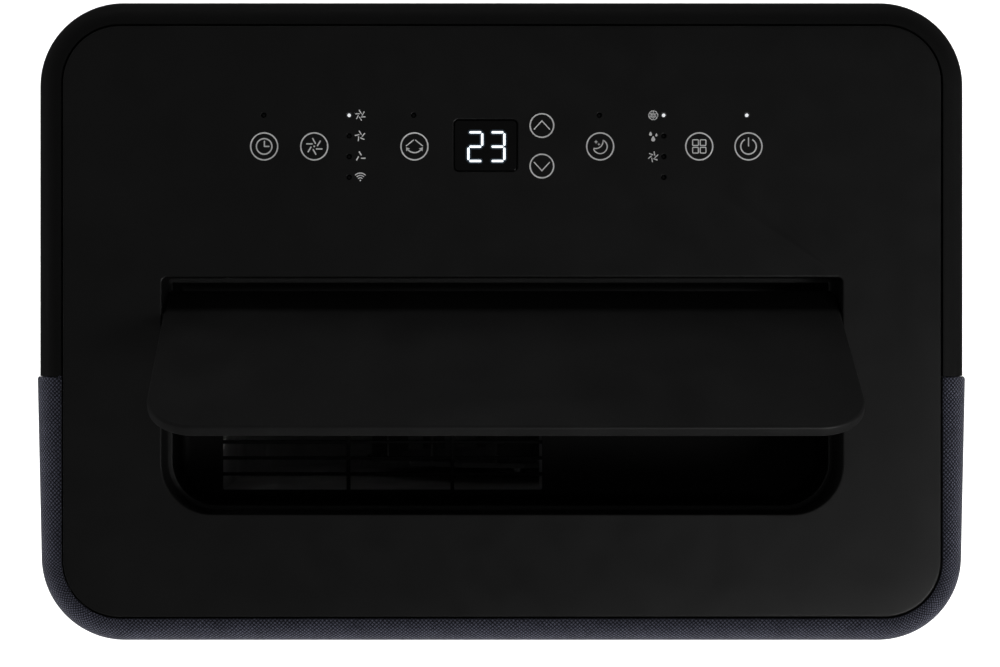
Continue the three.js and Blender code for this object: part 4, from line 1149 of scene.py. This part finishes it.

# %% [markdown]
# ## Outlet
#
# Under the outlet a liner catches what drips from the flap, and its rounded top edge is the thin ledge
# that shows inside the skirt; that edge is painted paler, a painted highlight. A finger guard closes the
# mouth of the fan's scroll. Both are matt and very dark, darker than black plastic is: painted shade,
# so that the opening reads as a hole.

# %% Tray under the outlet
TRAY_LOW = span("outlet_tray", Z)[0] / MM
TRAY_TOP = SKIRT_LOW - 0.3
TRAY_SHEET = 2.5
MOUTH_LEFT, MOUTH_RIGHT, MOUTH_FRONT, MOUTH_REAR = -138.0, 22.0, -84.0, 8.0


def tray_parts():
    """Wall with a rounded top edge and a rounded foot, and a floor with the fan's mouth in it."""
    a = np.radians(np.linspace(0, 90, 5))
    outer, inner, foot = 0.5, -2.0, 5.0
    grow = [outer, outer] + [outer - 0.6 * (1 - math.cos(t)) for t in a]
    height = [TRAY_LOW, TRAY_TOP - 0.6] + [TRAY_TOP - 0.6 * (1 - math.sin(t)) for t in a]
    grow += [inner + 0.6 * (1 - math.sin(t)) for t in a]
    height += [TRAY_TOP - 0.6 * (1 - math.cos(t)) for t in a]
    grow += [inner - foot * (1 - math.cos(t)) for t in a]
    height += [TRAY_LOW + TRAY_SHEET + foot * (1 - math.sin(t)) for t in a]
    plans = [outlet_plan(max(g, inner - OUTLET_REAR_RADIUS - foot)) for g in grow]
    half, middle = (MOUTH_RIGHT - MOUTH_LEFT) / 2, (MOUTH_RIGHT + MOUTH_LEFT) / 2
    mouth = rounded_plan(half, MOUTH_FRONT, MOUTH_REAR, 1.5, 1.5, 4) + np.array([middle, 0])
    return [
        rings(plans, height),
        rings([mouth, mouth], [TRAY_LOW + TRAY_SHEET, TRAY_LOW]),
        flat_region(plans[-1], [mouth], TRAY_LOW + TRAY_SHEET),
        flat_region(plans[0], [mouth], TRAY_LOW),
    ]


posts = []
for side in (-1, 1):
    x = sorted((side * (OUTLET_HALF + 0.1), side * (OUTLET_HALF + SKIRT_SHEET - 0.1)))
    posts += box_part(x, (FLAP_AXIS_Y - 1.9, FLAP_AXIS_Y + 1.9), (TRAY_TOP - 8, FLAP_AXIS_Z - 2.1), 0.2)

# The liner is near-black as painted shade of the deep duct, and its top millimetre goes over to 0.028: a
# painted highlight along the ledge's rounded edge.
TRAY_RIM = TRAY_TOP * MM
PAINTED_RIM_HIGHLIGHT = (TRAY_RIM - 0.0012, TRAY_RIM - 0.0004, 0.028)
LINER = plastic("liner", 0.0012, 0.6, specular=0.15, painted_light_ramp=PAINTED_RIM_HIGHLIGHT)
piece("outlet_liner", tray_parts() + posts, LINER, stands_for=["outlet_tray"])

# %% Finger guard under the outlet
GUARD_LOW, GUARD_TOP = (v / MM for v in span("outlet_grille", Z))
GUARD_UPRIGHTS = (-75.0, -23.0)
GUARD_PITCH = 8


def finger_guard():
    """A frame, ten bars with softened edges and two uprights."""
    half, middle = (MOUTH_RIGHT - MOUTH_LEFT) / 2, (MOUTH_RIGHT + MOUTH_LEFT) / 2
    outer = rounded_plan(half + 3, MOUTH_FRONT - 3, MOUTH_REAR + 3, 2, 2, 4)
    inner = rounded_plan(half, MOUTH_FRONT, MOUTH_REAR, 0.8, 0.8, 4)
    section = [(0, GUARD_LOW), (0, GUARD_TOP - 0.4), (0.13, GUARD_TOP), (0.87, GUARD_TOP)]
    section += [(1, GUARD_TOP - 0.4), (1, GUARD_LOW)]
    parts = moved([grid(loft(outer, inner, section), True, True)], (middle, 0, 0))
    for x in GUARD_UPRIGHTS:
        parts += box_part((x - 0.9, x + 0.9), (MOUTH_FRONT - 1, MOUTH_REAR + 1), (GUARD_LOW, GUARD_TOP))
    across, height = (MOUTH_LEFT - 1, MOUTH_RIGHT + 1), (GUARD_LOW + 1, GUARD_TOP - 0.5)
    for y in np.arange(MOUTH_FRONT + GUARD_PITCH, MOUTH_REAR - 4, GUARD_PITCH):
        parts += box_part(across, (y - 0.8, y + 0.8), height)
    return parts


# The guard is coloured near-black as painted shade of the duct under the flap.
piece("finger_guard", finger_guard(), PAINTED_SHADE_BLACK, stands_for=["outlet_grille"])

# %% [markdown]
# ## Base pan and hand grips
#
# The bottom is a shallow tray that holds the condensate, with a drain hole at the back. A finger-deep
# cup sits in each side wall, with a soft rim that a hand can pull on.

# %% Base pan
PAN_LOW, PAN_HIGH = (v / MM for v in span("base_pan", Z))
PAN_WALL = 6.0


def case_plan(inset):
    """The casing's whole plan, smaller all round by inset."""
    radius = CASE_RADIUS - inset
    return rounded_plan(CASE_HALF - inset, -CASE_REAR + inset, CASE_REAR - inset, radius, radius, CORNER)


def pan_rings():
    """Outer wall with a softened foot and a shadow groove under its rim, then the inner wall."""
    section = [(4.0, PAN_LOW), (2.5, PAN_LOW + 0.3), (1.0, PAN_LOW + 1.4), (0.3, PAN_LOW + 3)]
    section += [(0.0, PAN_LOW + 5), (0.0, PAN_HIGH - 1.6), (0.8, PAN_HIGH - 1.2), (0.8, PAN_HIGH)]
    section += [(PAN_WALL - 0.5, PAN_HIGH), (PAN_WALL, PAN_HIGH - 0.5), (PAN_WALL, PAN_LOW + PAN_WALL)]
    plans, heights = [case_plan(i) for i, _ in section], [z for _, z in section]
    bottom = flat_region(plans[0], [], heights[0])
    return [rings(plans, heights), bottom, flat_region(plans[-1], [], heights[-1])]


pan = piece("base_tray", pan_rings(), CASE_BLACK, stands_for=["base_pan"])
carved(pan, [round_cutter("lower_drain_plug", 0.5)])

# %% Hand grips
GRIP_SHEET = 2.0


def grip_cup(side):
    """A cup drawn along X: outer wall, rolled rim, inner wall with a rounded foot, and its floor."""
    low, high = (np.array(c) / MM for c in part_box("right_grip"))
    half_y, half_z, depth = (high[1] - low[1]) / 2, (high[2] - low[2]) / 2, high[0] - low[0]

    def plan(inset):
        radius = 7.7 - min(inset, 6.0)
        return rounded_plan(half_y - inset, -half_z + inset, half_z - inset, radius, radius, 8)

    section = [(0, 0), (0, depth - 0.6), (0.2, depth - 0.15), (0.7, depth), (1.5, depth - 0.1)]
    section += [(GRIP_SHEET, depth - 0.8), (GRIP_SHEET, GRIP_SHEET + 4)]
    section += [(GRIP_SHEET + 0.6, GRIP_SHEET + 1.8), (GRIP_SHEET + 2, GRIP_SHEET + 0.5)]
    section += [(GRIP_SHEET + 4, GRIP_SHEET)]
    plans, heights = [plan(i) for i, _ in section], [z for _, z in section]
    cup = [rings(plans, heights), flat_region(plans[0], [], 0), flat_region(plans[-1], [], heights[-1])]
    cup = moved(facing(cup, "x"), (low[0], (low[1] + high[1]) / 2, (low[2] + high[2]) / 2))
    return mapped(cup, lambda p: p * (side, 1, 1))


GRIP_BLACK = plastic("grip_black", 0.004, 0.55, specular=0.3)
piece("left_finger_cup", grip_cup(-1), GRIP_BLACK, stands_for=["left_grip"])
piece("right_finger_cup", grip_cup(1), GRIP_BLACK, stands_for=["right_grip"])

# %% [markdown]
# ## Intake grilles and filters
#
# Each intake is a louvred frame that pulls out to the rear, with a washable net clipped to its inside.
# A louvre is a thin blade that leans, so that nobody looks straight in: its section is a slim outline
# with round ends, drawn along X. The net is real strands in both directions, because it shows in
# outline when the frame is taken out.

# %% Louvred frame
LOUVRE_PITCH = 8.2
LOUVRE_LEAN = 32.0
RAIL = 8.0


def rim_frame(half_width, half_height, width, low, high, radius=3.0):
    """A rectangular frame in X and Y with softened edges, from low to high."""
    outer = rounded_plan(half_width, -half_height, half_height, radius, radius, 6)
    inner_radius = max(radius - 1, 1)
    inner = rounded_plan(
        half_width - width, -half_height + width, half_height - width, inner_radius, inner_radius, 6
    )
    edge, slight = 0.7, 0.21
    rise = [(0, low), (0, high - edge), (slight / width, high - slight), (edge / width, high)]
    section = rise + [(1 - t, z) for t, z in reversed(rise)]
    return [grid(loft(outer, inner, section), True, True)]


def upright(parts, node):
    """Parts drawn up along Z and flat in X and Y, stood in the rear wall over a node's middle."""
    low, high = (np.array(c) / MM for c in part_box(node))
    stood = [(p[:, [0, 2, 1]], f[:, ::-1]) for p, f in parts]
    return moved(stood, ((low[0] + high[0]) / 2, low[1], (low[2] + high[2]) / 2))


def louvre(half_width, height, depth):
    """One leaning blade, drawn along X at a height, with round ends to its section."""
    path = np.array([(0.0, -depth / 2), (0.0, depth / 2)])
    blade = ribbon(turned_path(path, LOUVRE_LEAN), 1.3, -half_width, 2 * half_width)
    section = [(p[:, [2, 0, 1]], f) for p, f in blade]
    return moved(section, (0, height, 4.1))


def intake(node):
    """The frame, its louvres, five uprights behind them and a pull tab at the top."""
    low, high = (np.array(c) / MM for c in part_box(node))
    half, tall, deep = (high[0] - low[0]) / 2, (high[2] - low[2]) / 2, high[1] - low[1]
    parts = rim_frame(half, tall, RAIL, 0, deep)
    count = round((2 * tall - 2 * RAIL) / LOUVRE_PITCH)
    pitch = (2 * tall - 2 * RAIL) / count
    for row in range(count):
        parts += louvre(half - RAIL + 0.5, -tall + RAIL + pitch * (row + 0.5), 6.0)
    for x in np.linspace(-1, 1, 5) * (half - RAIL) * 0.8:
        parts += box_part((x - 1.1, x + 1.1), (-tall + RAIL - 0.5, tall - RAIL + 0.5), (0.3, 5.4), 0.3)
    tab = rounded_plan(17, tall - RAIL - 6, tall - RAIL + 1, 2.5, 1, 6)
    parts += drawn_up(tab, 1.5, deep - 0.2, 0.6, 3)
    return upright(parts, node)


for side, body in (("upper", "upper_grille"), ("lower", "lower_grille")):
    node = f"{side}_intake_grille"
    piece(f"{side}_louvres", intake(node), CASE_BLACK, body, stands_for=[node])

# %% Filter nets
NET_PITCH = 2.4
NET = plastic("net", 0.05, 0.6, tint=(0.9, 1.0, 1.1))
FILTER_FRAME = plastic("filter_frame", 0.05, 0.5, tint=(0.9, 1.0, 1.1))


def solid_box(x, y, z):
    """A plain box: eight corners and six faces, for shapes repeated hundreds of times."""
    points = np.array([(a, b, c) for a in x for b in y for c in z], float)
    faces = [(0, 1, 3, 2), (4, 6, 7, 5), (0, 4, 5, 1), (2, 3, 7, 6), (0, 2, 6, 4), (1, 5, 7, 3)]
    return points, np.array(faces)


def strands(half_width, half_height, level, size=0.42):
    """A net of square strands, two layers that touch."""
    parts = []
    for x in np.arange(-half_width + NET_PITCH, half_width, NET_PITCH):
        ends = (-half_height, half_height)
        parts += [solid_box((x - size / 2, x + size / 2), ends, (level, level + size))]
    for y in np.arange(-half_height + NET_PITCH, half_height, NET_PITCH):
        ends = (-half_width, half_width)
        parts += [solid_box(ends, (y - size / 2, y + size / 2), (level + size, level + 2 * size))]
    return parts


def filter_parts(node):
    """Frame and ribs of a filter."""
    low, high = (np.array(c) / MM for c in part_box(node))
    half, tall, deep = (high[0] - low[0]) / 2, (high[2] - low[2]) / 2, high[1] - low[1]
    parts = rim_frame(half, tall, 6, 0, deep, 4.0)
    for x in np.linspace(-1, 1, 5)[1:-1] * half:
        parts += box_part((x - 1.2, x + 1.2), (-tall + 5.5, tall - 5.5), (1, deep - 1), 0.3)
    for y in (-tall / 3, tall / 3):
        parts += box_part((-half + 5.5, half - 5.5), (y - 1.0, y + 1.0), (1.2, deep - 1.2), 0.3)
    return upright(parts, node), upright(strands(half - 5, tall - 5, 1.8), node)


for side in ("upper", "lower"):
    node, body = f"{side}_filter", f"{side}_air_filter"
    frame_parts, net_parts = filter_parts(node)
    piece(f"{side}_filter_frame", frame_parts, FILTER_FRAME, body, stands_for=[node])
    piece(f"{side}_filter_net", net_parts, NET, body, weld=False)

# %% [markdown]
# ## Hose collar, plugs and gland
#
# The exhaust hose twists into a round collar with three short lugs inside and a guard of rings and
# spokes at its bottom. Two rubber plugs close the drains, each with a pull bar across its head, and
# the mains lead would leave through a rubber gland.

# %% Exhaust collar
PORT_X, _, PORT_Z = (sum((Vector(c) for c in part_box("exhaust_collar")), Vector()) / 2 / MM)[:]
PORT_REAR = span("exhaust_collar", Y)[1] / MM
PORT_DEEP = PORT_REAR - span("exhaust_collar", Y)[0] / MM
PORT_OUTER, PORT_INNER, PORT_FLANGE = 62.5, 58.0, 66.0
LUG_TURNS, LUG_HALF, LUG_REACH = (90, 210, 330), 9, 2.6  # places and half width in degrees
GUARD_RINGS, GUARD_SPOKES = (20.0, 38.0), 4


def on_rear(parts, x, z, face=0.0):
    """Parts drawn up along Z, turned to stand out to the rear at a place on the rear wall."""
    stood = [(p[:, [0, 2, 1]], f[:, ::-1]) for p, f in parts]
    return moved(stood, (x, face, z))


def collar():
    """A ring with a rolled mouth, its flange inside the wall, lugs and guard bars."""
    d = PORT_DEEP
    ring_section = [(PORT_OUTER, 0), (PORT_OUTER, d - 8), (PORT_FLANGE, d - 8), (PORT_FLANGE, d - 4.2)]
    ring_section += [(PORT_OUTER, d - 4.2), (PORT_OUTER, d - 0.8), (PORT_OUTER - 0.3, d - 0.2)]
    ring_section += [(PORT_OUTER - 1, d), (PORT_INNER + 1, d), (PORT_INNER + 0.3, d - 0.3)]
    ring_section += [(PORT_INNER, d - 1), (PORT_INNER, 0)]
    parts = turned_part(ring_section, 96)
    for turn in LUG_TURNS:
        far = arc((0, 0), PORT_INNER + 0.5, turn - LUG_HALF, turn + LUG_HALF, 8)
        near = arc((0, 0), PORT_INNER - LUG_REACH, turn + LUG_HALF, turn - LUG_HALF, 8)
        parts += drawn_up(np.concatenate([far, near]), d - 9, d - 6, 0.3, 2)
    for radius in GUARD_RINGS:
        parts += hoop((0, 0), radius, 2.2, 0.2, 2.6)
    reach = PORT_INNER + 0.5
    for turn in range(0, 180, 180 // GUARD_SPOKES):
        parts += ribbon(turned_path([(-reach, 0), (reach, 0)], turn), 2.4, 0.0, 3.0)
    return parts


collar_parts = on_rear(collar(), PORT_X, PORT_Z, PORT_REAR - PORT_DEEP)
piece("hose_collar", collar_parts, CASE_BLACK, stands_for=["exhaust_collar"])


# %% Plugs and gland
def plug(node):
    """A round head with a soft rim, a shank behind it and a pull bar across it."""
    low, high = (np.array(c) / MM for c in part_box(node))
    deep, radius = high[1] - low[1], (high[0] - low[0]) / 2
    head = [(0.02, 0), (4.2, 0), (4.6, 0.5), (4.6, deep - 3), (radius, deep - 3), (radius, deep - 1)]
    head += [(radius - 0.3, deep - 0.6), (radius - 1, deep - 0.4), (0.02, deep - 0.4)]
    parts = turned_part(head, 40) + box_part((-1.4, 1.4), (-5.6, 5.6), (deep - 1, deep), 0.4)
    return on_rear(parts, (low[0] + high[0]) / 2, (low[2] + high[2]) / 2, low[1])


for side in ("upper", "lower"):
    node = f"{side}_drain_plug"
    piece(f"{side}_plug_rubber", plug(node), RUBBER, f"{side}_plug", stands_for=[node])


def gland():
    """A rubber bush with an open bore, a flange inside the wall and two grooves outside."""
    low, high = (np.array(c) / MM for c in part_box("cord_gland"))
    deep, flange, bore, neck = high[1] - low[1], (high[0] - low[0]) / 2, 3.8, 7.3
    section = [(bore, 0), (flange, 0), (flange, deep - 3.1), (neck, deep - 3.1), (neck, deep - 0.5)]
    section += [(neck - 0.5, deep), (bore + 1.6, deep), (bore + 1.4, deep - 0.6), (bore + 0.8, deep - 0.6)]
    section += [(bore + 0.6, deep), (bore + 0.2, deep), (bore, deep - 0.3)]
    return on_rear(turned_part(section, 40), (low[0] + high[0]) / 2, (low[2] + high[2]) / 2, low[1])


piece("lead_bush", gland(), RUBBER, stands_for=["cord_gland"])

# %% Screws in the rear wall
SCREW_HEAD, SCREW_RISE, SOCKET = 3.4, 1.3, 0.9


def screw_head():
    """A pan head: a turned dome with a socket in it."""
    a = np.radians(np.linspace(0, 90, 6))
    dome = [(SCREW_HEAD * math.cos(t), SCREW_RISE * math.sin(t)) for t in a[:-1]]
    parts = turned_part([(SOCKET, 0.2), (SCREW_HEAD, -0.4), *dome, (SOCKET, SCREW_RISE - 0.02)], 28)
    return parts + [hoop((0, 0), 0.75, 0.5, 0.25, 0.55, 4)[0]]


SCREW_STEEL = metal("screw_steel", (0.05, 0.05, 0.052), 0.35, scale=900.0)
SCREW_X = 172.98
SCREW_HEIGHTS = (100.0, 330.0, 655.0)
screw_parts = []
for x in (-SCREW_X, SCREW_X):
    for z in SCREW_HEIGHTS:
        screw_parts += on_rear(screw_head(), x, z, CASE_REAR - 0.6)
piece("rear_screws", screw_parts, SCREW_STEEL)

# %% [markdown]
# ## Casters
#
# Four twin-cheek casters: a pressed crown with a raised race, two rounded cheeks that lean back to
# the wheel's axle, and a wheel with a softened tread and a hub. The stem turns in the base, so crown
# and cheeks ride on the fork's body and the wheel on its own.

# %% Sizes of a caster
CASTER_TRAIL = 12.0
WHEEL_RADIUS = 18.0
WHEEL_HALF = 7.0
CROWN_TOP = PAN_LOW - 0.4
CHEEK_THICK = 2.5
CHEEK_OUT = WHEEL_HALF + 2.0 + CHEEK_THICK


def cheek(side):
    """A cheek in Y and Z: a wedge from the crown to a round end about the axle."""
    round_end = arc((CASTER_TRAIL, WHEEL_RADIUS), 7, -162, 0, 14)
    outline = np.concatenate([[(-9, CROWN_TOP - 1.5)], round_end, [(12, CROWN_TOP - 1.5)]])
    start = CHEEK_OUT - CHEEK_THICK if side > 0 else -CHEEK_OUT
    return facing(drawn_up(outline, start, start + CHEEK_THICK, 0.35, 2), "x")


def fork_parts():
    """Crown, race, stem and both cheeks."""
    crown = [(0.02, CROWN_TOP - 5.6), (11, CROWN_TOP - 5.6), (13, CROWN_TOP - 4.8), (13.5, CROWN_TOP - 3.6)]
    crown += [(13.5, CROWN_TOP - 1.2), (12.8, CROWN_TOP - 0.4), (9, CROWN_TOP - 0.4), (8.6, CROWN_TOP)]
    crown += [(4, CROWN_TOP), (4, CROWN_TOP + 10), (3.4, CROWN_TOP + 10.4), (0.02, CROWN_TOP + 10.4)]
    return turned_part(crown, 40) + cheek(-1) + cheek(1)


def wheel_parts():
    """Tread with rounded shoulders, a groove round its middle, a web and a hub."""
    tread, half, bore = WHEEL_RADIUS, WHEEL_HALF, 2.9
    edge = [(tread - 2.0, half), (tread - 0.7, half - 0.5), (tread - 0.15, half - 1.6), (tread, half - 2.6)]
    side = [(bore, half), (6.0, half), (6.4, half - 2), (12.4, half - 2), (13.0, half), *edge]
    section = side + [(tread, 0.7), (tread - 0.5, 0.4), (tread - 0.5, -0.4), (tread, -0.7)]
    section += [(r, -z) for r, z in reversed(side)]
    return facing(turned_part(section, 56), "x")


def axle_parts():
    """A pin with a domed head at each end."""
    reach = CHEEK_OUT + 1.0
    a = np.radians(np.linspace(0, 85, 4))
    head = [(3.2 * math.cos(t), reach - 1 + math.sin(t)) for t in a]
    half = [(2.5, CHEEK_OUT), (3.2, CHEEK_OUT), *head]
    section = [(0.02, -reach), *[(r, -z) for r, z in reversed(half)], *half, (0.02, reach)]
    return facing(turned_part(section, 28), "x")


AXLE_STEEL = metal("axle_steel", (0.5, 0.5, 0.51), 0.3)
WHEEL_RUBBER = plastic("wheel_rubber", 0.015, 0.6, grain=1500.0, depth=0.00004, specular=0.35)
for corner in ("front_left", "front_right", "rear_left", "rear_right"):
    low, high = (np.array(c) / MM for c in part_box(f"caster_axle_{corner}"))
    x, y = (low[0] + high[0]) / 2, (low[1] + high[1]) / 2
    stem = (x, y - CASTER_TRAIL, 0)
    hub = (x, y, WHEEL_RADIUS)
    for part, shape, place, material, slot, body in (
        ("fork", fork_parts(), stem, CASE_BLACK, "black_plastic", "fork"),
        ("axle", axle_parts(), hub, AXLE_STEEL, "steel", "fork"),
        ("wheel", wheel_parts(), hub, WHEEL_RUBBER, "rubber", "wheel"),
    ):
        node, rider = f"caster_{part}_{corner}", f"{body}_{corner}"
        piece(f"{part}_{corner}", moved(shape, place), material, rider, stands_for=[node])

# %% [markdown]
# ## Heat exchangers
#
# With a grille and its filter taken out, the fins of the coil behind them show. A coil is many thin
# aluminium plates on copper tubes, so that is how it is made: one thin box for each fin, round tubes
# between them, and half rings at the ends. The plates carry a pale blue coating that sheds water.

# %% Coils
FIN_PITCH = 2.2
FIN_THICK = 0.25
TUBE_RADIUS = 3.5
END_REACH = 10.0
BEND_STEPS = 13


def tube_ring(points, radius, sides=16):
    """A tube along points in the XZ plane: rings across the path, joined, with closed ends."""
    run = np.gradient(points, axis=0)
    run /= np.linalg.norm(run, axis=1)[:, None]
    side = np.stack([run[:, 2], np.zeros(len(run)), -run[:, 0]], 1)
    angle = np.linspace(0, TAU, sides, endpoint=False)
    across = side[:, None, :] * np.cos(angle)[None, :, None]
    around = across + np.array([0, 1.0, 0]) * np.sin(angle)[None, :, None]
    walls = points[:, None, :] + radius * around
    ends = []
    for end in (0, -1):
        fan = np.concatenate([walls[end], points[end][None]])
        ring_index = np.arange(sides)
        ends.append((fan, np.stack([ring_index, (ring_index + 1) % sides, np.full(sides, sides)], 1)))
    return [grid(walls, wrap_columns=True), *ends]


def coil_parts(node, bends):
    """Fins, end plates, and a tube for each bend: out, round half a ring, and back."""
    low, high = (np.array(c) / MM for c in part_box(node))
    plates = 3.0
    x0, x1 = low[0] + 1.5, high[0] - END_REACH - TUBE_RADIUS
    y0, y1, z0, z1 = low[1] + plates, high[1] - plates, low[2] + plates, high[2] - plates
    fins = [solid_box((x, x + FIN_THICK), (y0, y1), (z0, z1)) for x in np.arange(x0 + 2, x1 - 1, FIN_PITCH)]
    for x in (x0 - 1.5, x1):
        fins += box_part((x, x + 1.5), (low[1], high[1]), (low[2], high[2]), 0.3)
    rise, middle = (z1 - z0) / (2 * bends), (y0 + y1) / 2
    tubes = []
    for bend in range(bends):
        z = z0 + rise * (2 * bend + 1)
        turn = np.linspace(-math.pi / 2, math.pi / 2, BEND_STEPS)
        x = x1 + 1.5 + (END_REACH - 1.5) * np.cos(turn)
        loop = np.stack([x, np.full(BEND_STEPS, middle), z + rise / 2 * np.sin(turn)], 1)
        starts = [[(x0 - 1.0, middle, z + s * rise / 2)] for s in (-1, 1)]
        tubes += tube_ring(np.concatenate([starts[0], loop, starts[1]]), TUBE_RADIUS)
    return fins, tubes


FIN_COATING = plastic("fin_coating", 0.5, 0.35, tint=(0.82, 0.95, 1.1))
COPPER = metal("copper", (0.62, 0.29, 0.15), 0.3, scale=120.0)
for node, bends in (("evaporator_coil", 4), ("condenser_coil", 3)):
    fins, tubes = coil_parts(node, bends)
    piece(f"{node}_fins", fins, FIN_COATING, stands_for=[node], weld=False)
    piece(f"{node}_tubes", tubes, COPPER)

# %% [markdown]
# ## Parts that keep their shape
#
# What sits inside the casing is already the right shape, and only its surface is finished here.

# %% Finishes of the inner parts
ZINC = metal("zinc_sheet", (0.52, 0.53, 0.54), 0.36, streak=(1, 1, 0.1), scale=220.0)
ALUMINIUM = metal("aluminium_can", (0.62, 0.63, 0.64), 0.32, streak=(1, 1, 0.05), scale=400.0)
BOARD = plastic("circuit_board", 0.05, 0.35, grain=900.0, depth=0.00005, tint=(0.3, 1.2, 0.6))
ENAMEL = plastic("black_enamel", 0.01, 0.28, grain=500.0, depth=0.00002)
KEPT = {
    PAINTED_SHADE_BLACK: ["display_module"],
    BOARD: ["control_board"],
    ZINC: ["flap_motor", "upper_fan_motor", "lower_fan_motor", "electrical_box", "splash_motor"],
    WHITE_PLASTIC: ["flap_crank", "flap_link", "upper_scroll", "splash_wheel"],
    GREY_PLASTIC: [
        "mid_deck",
        "upper_inlet_ring",
        "upper_blower_wheel",
        "lower_scroll",
        "lower_inlet_ring",
        "lower_blower_wheel",
        "exhaust_duct",
    ],
    ALUMINIUM: ["capacitor"],
    ENAMEL: ["compressor", "accumulator"],
    RUBBER: [f"compressor_foot_{number}" for number in (1, 2, 3)],
    COPPER: ["suction_pipe", "discharge_pipe", "liquid_line"],
}
for material, names in KEPT.items():
    for name in names:
        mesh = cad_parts[name].data
        mesh.materials.clear()
        mesh.materials.append(material)
print("inner parts finished:", sum(len(names) for names in KEPT.values()))

# %% [markdown]
# ## Floor, light and sky
#
# A pale, faintly glowing floor under soft studio light. One large soft lamp in front and to the right
# gives the panel its gradient, and it is the only lamp that is mirrored. Low strips beside the machine
# light its walls and the floor without touching the top. The strips and the floor are kept out of
# reflections and the sky is dim, darker at the horizon than overhead, so the black parts stay black.

# %% Floor
floor_material, tree, shader, _ = new_material("floor")
shader.inputs["Base Color"].default_value = (0.85, 0.85, 0.85, 1)
shader.inputs["Emission Color"].default_value = (1, 1, 1, 1)
shader.inputs["Emission Strength"].default_value = 0.6
shader.inputs["Roughness"].default_value = 0.9
shader.inputs["Specular IOR Level"].default_value = 0.0
FLOOR_HALF = 15.0
floor_mesh = bpy.data.meshes.new("floor")
corners = [(-FLOOR_HALF, -FLOOR_HALF, 0), (FLOOR_HALF, -FLOOR_HALF, 0), (FLOOR_HALF, FLOOR_HALF, 0)]
floor_mesh.from_pydata([*corners, (-FLOOR_HALF, FLOOR_HALF, 0)], [], [(0, 1, 2, 3)])
floor_mesh.materials.append(floor_material)
floor = bpy.data.objects.new("floor", floor_mesh)
bpy.context.scene.collection.objects.link(floor)
floor.visible_glossy = False


# %% Lights
def soft_light(name, place, target, size, power, mirrored=False):
    """A rectangular lamp at a place, turned to face a target."""
    data = bpy.data.lights.new(name, "AREA")
    data.shape, data.size, data.size_y = "RECTANGLE", size[0], size[1]
    data.energy = power
    lamp = bpy.data.objects.new(name, data)
    lamp.location = place
    lamp.visible_glossy = mirrored
    aim = Vector(target) - Vector(place)
    lamp.rotation_euler = aim.to_track_quat("-Z", "Y").to_euler()
    bpy.context.scene.collection.objects.link(lamp)
    return lamp


LOW_WALL = (0, 0, 0.35)
soft_light("key", (1.5, -1.3, 2.9), (0.05, 0, 0.6), (1.1, 1.1), 24, mirrored=True)
soft_light("left_strip", (-2.2, -0.4, 0.7), LOW_WALL, (1.6, 0.9), 42)
soft_light("right_strip", (2.2, -0.4, 0.7), LOW_WALL, (1.6, 0.9), 42)
soft_light("front_strip", (0.2, -2.4, 0.8), LOW_WALL, (2.0, 0.9), 45)
soft_light("rear_strip", (0, 2.4, 0.8), LOW_WALL, (2.0, 0.9), 45)

# %% Sky
world = bpy.data.worlds.new("studio")
bpy.context.scene.world = world
world.use_nodes = True
tree = world.node_tree
direction = add(tree, "TexCoord").outputs["Generated"]
upward = add(tree, "SeparateXYZ", {0: direction}).outputs[2]
SKY_HORIZON, SKY_OVERHEAD = 0.03, 0.10
FADE_START, FADE_STOP = 0.3, 0.95
sky = ranged(tree, upward, SKY_HORIZON, SKY_OVERHEAD, FADE_START, FADE_STOP)
tree.links.new(sky, tree.nodes["Background"].inputs["Strength"])
tree.nodes["Background"].inputs["Color"].default_value = (1, 1, 1, 1)
bpy.context.scene.view_settings.view_transform = "Standard"
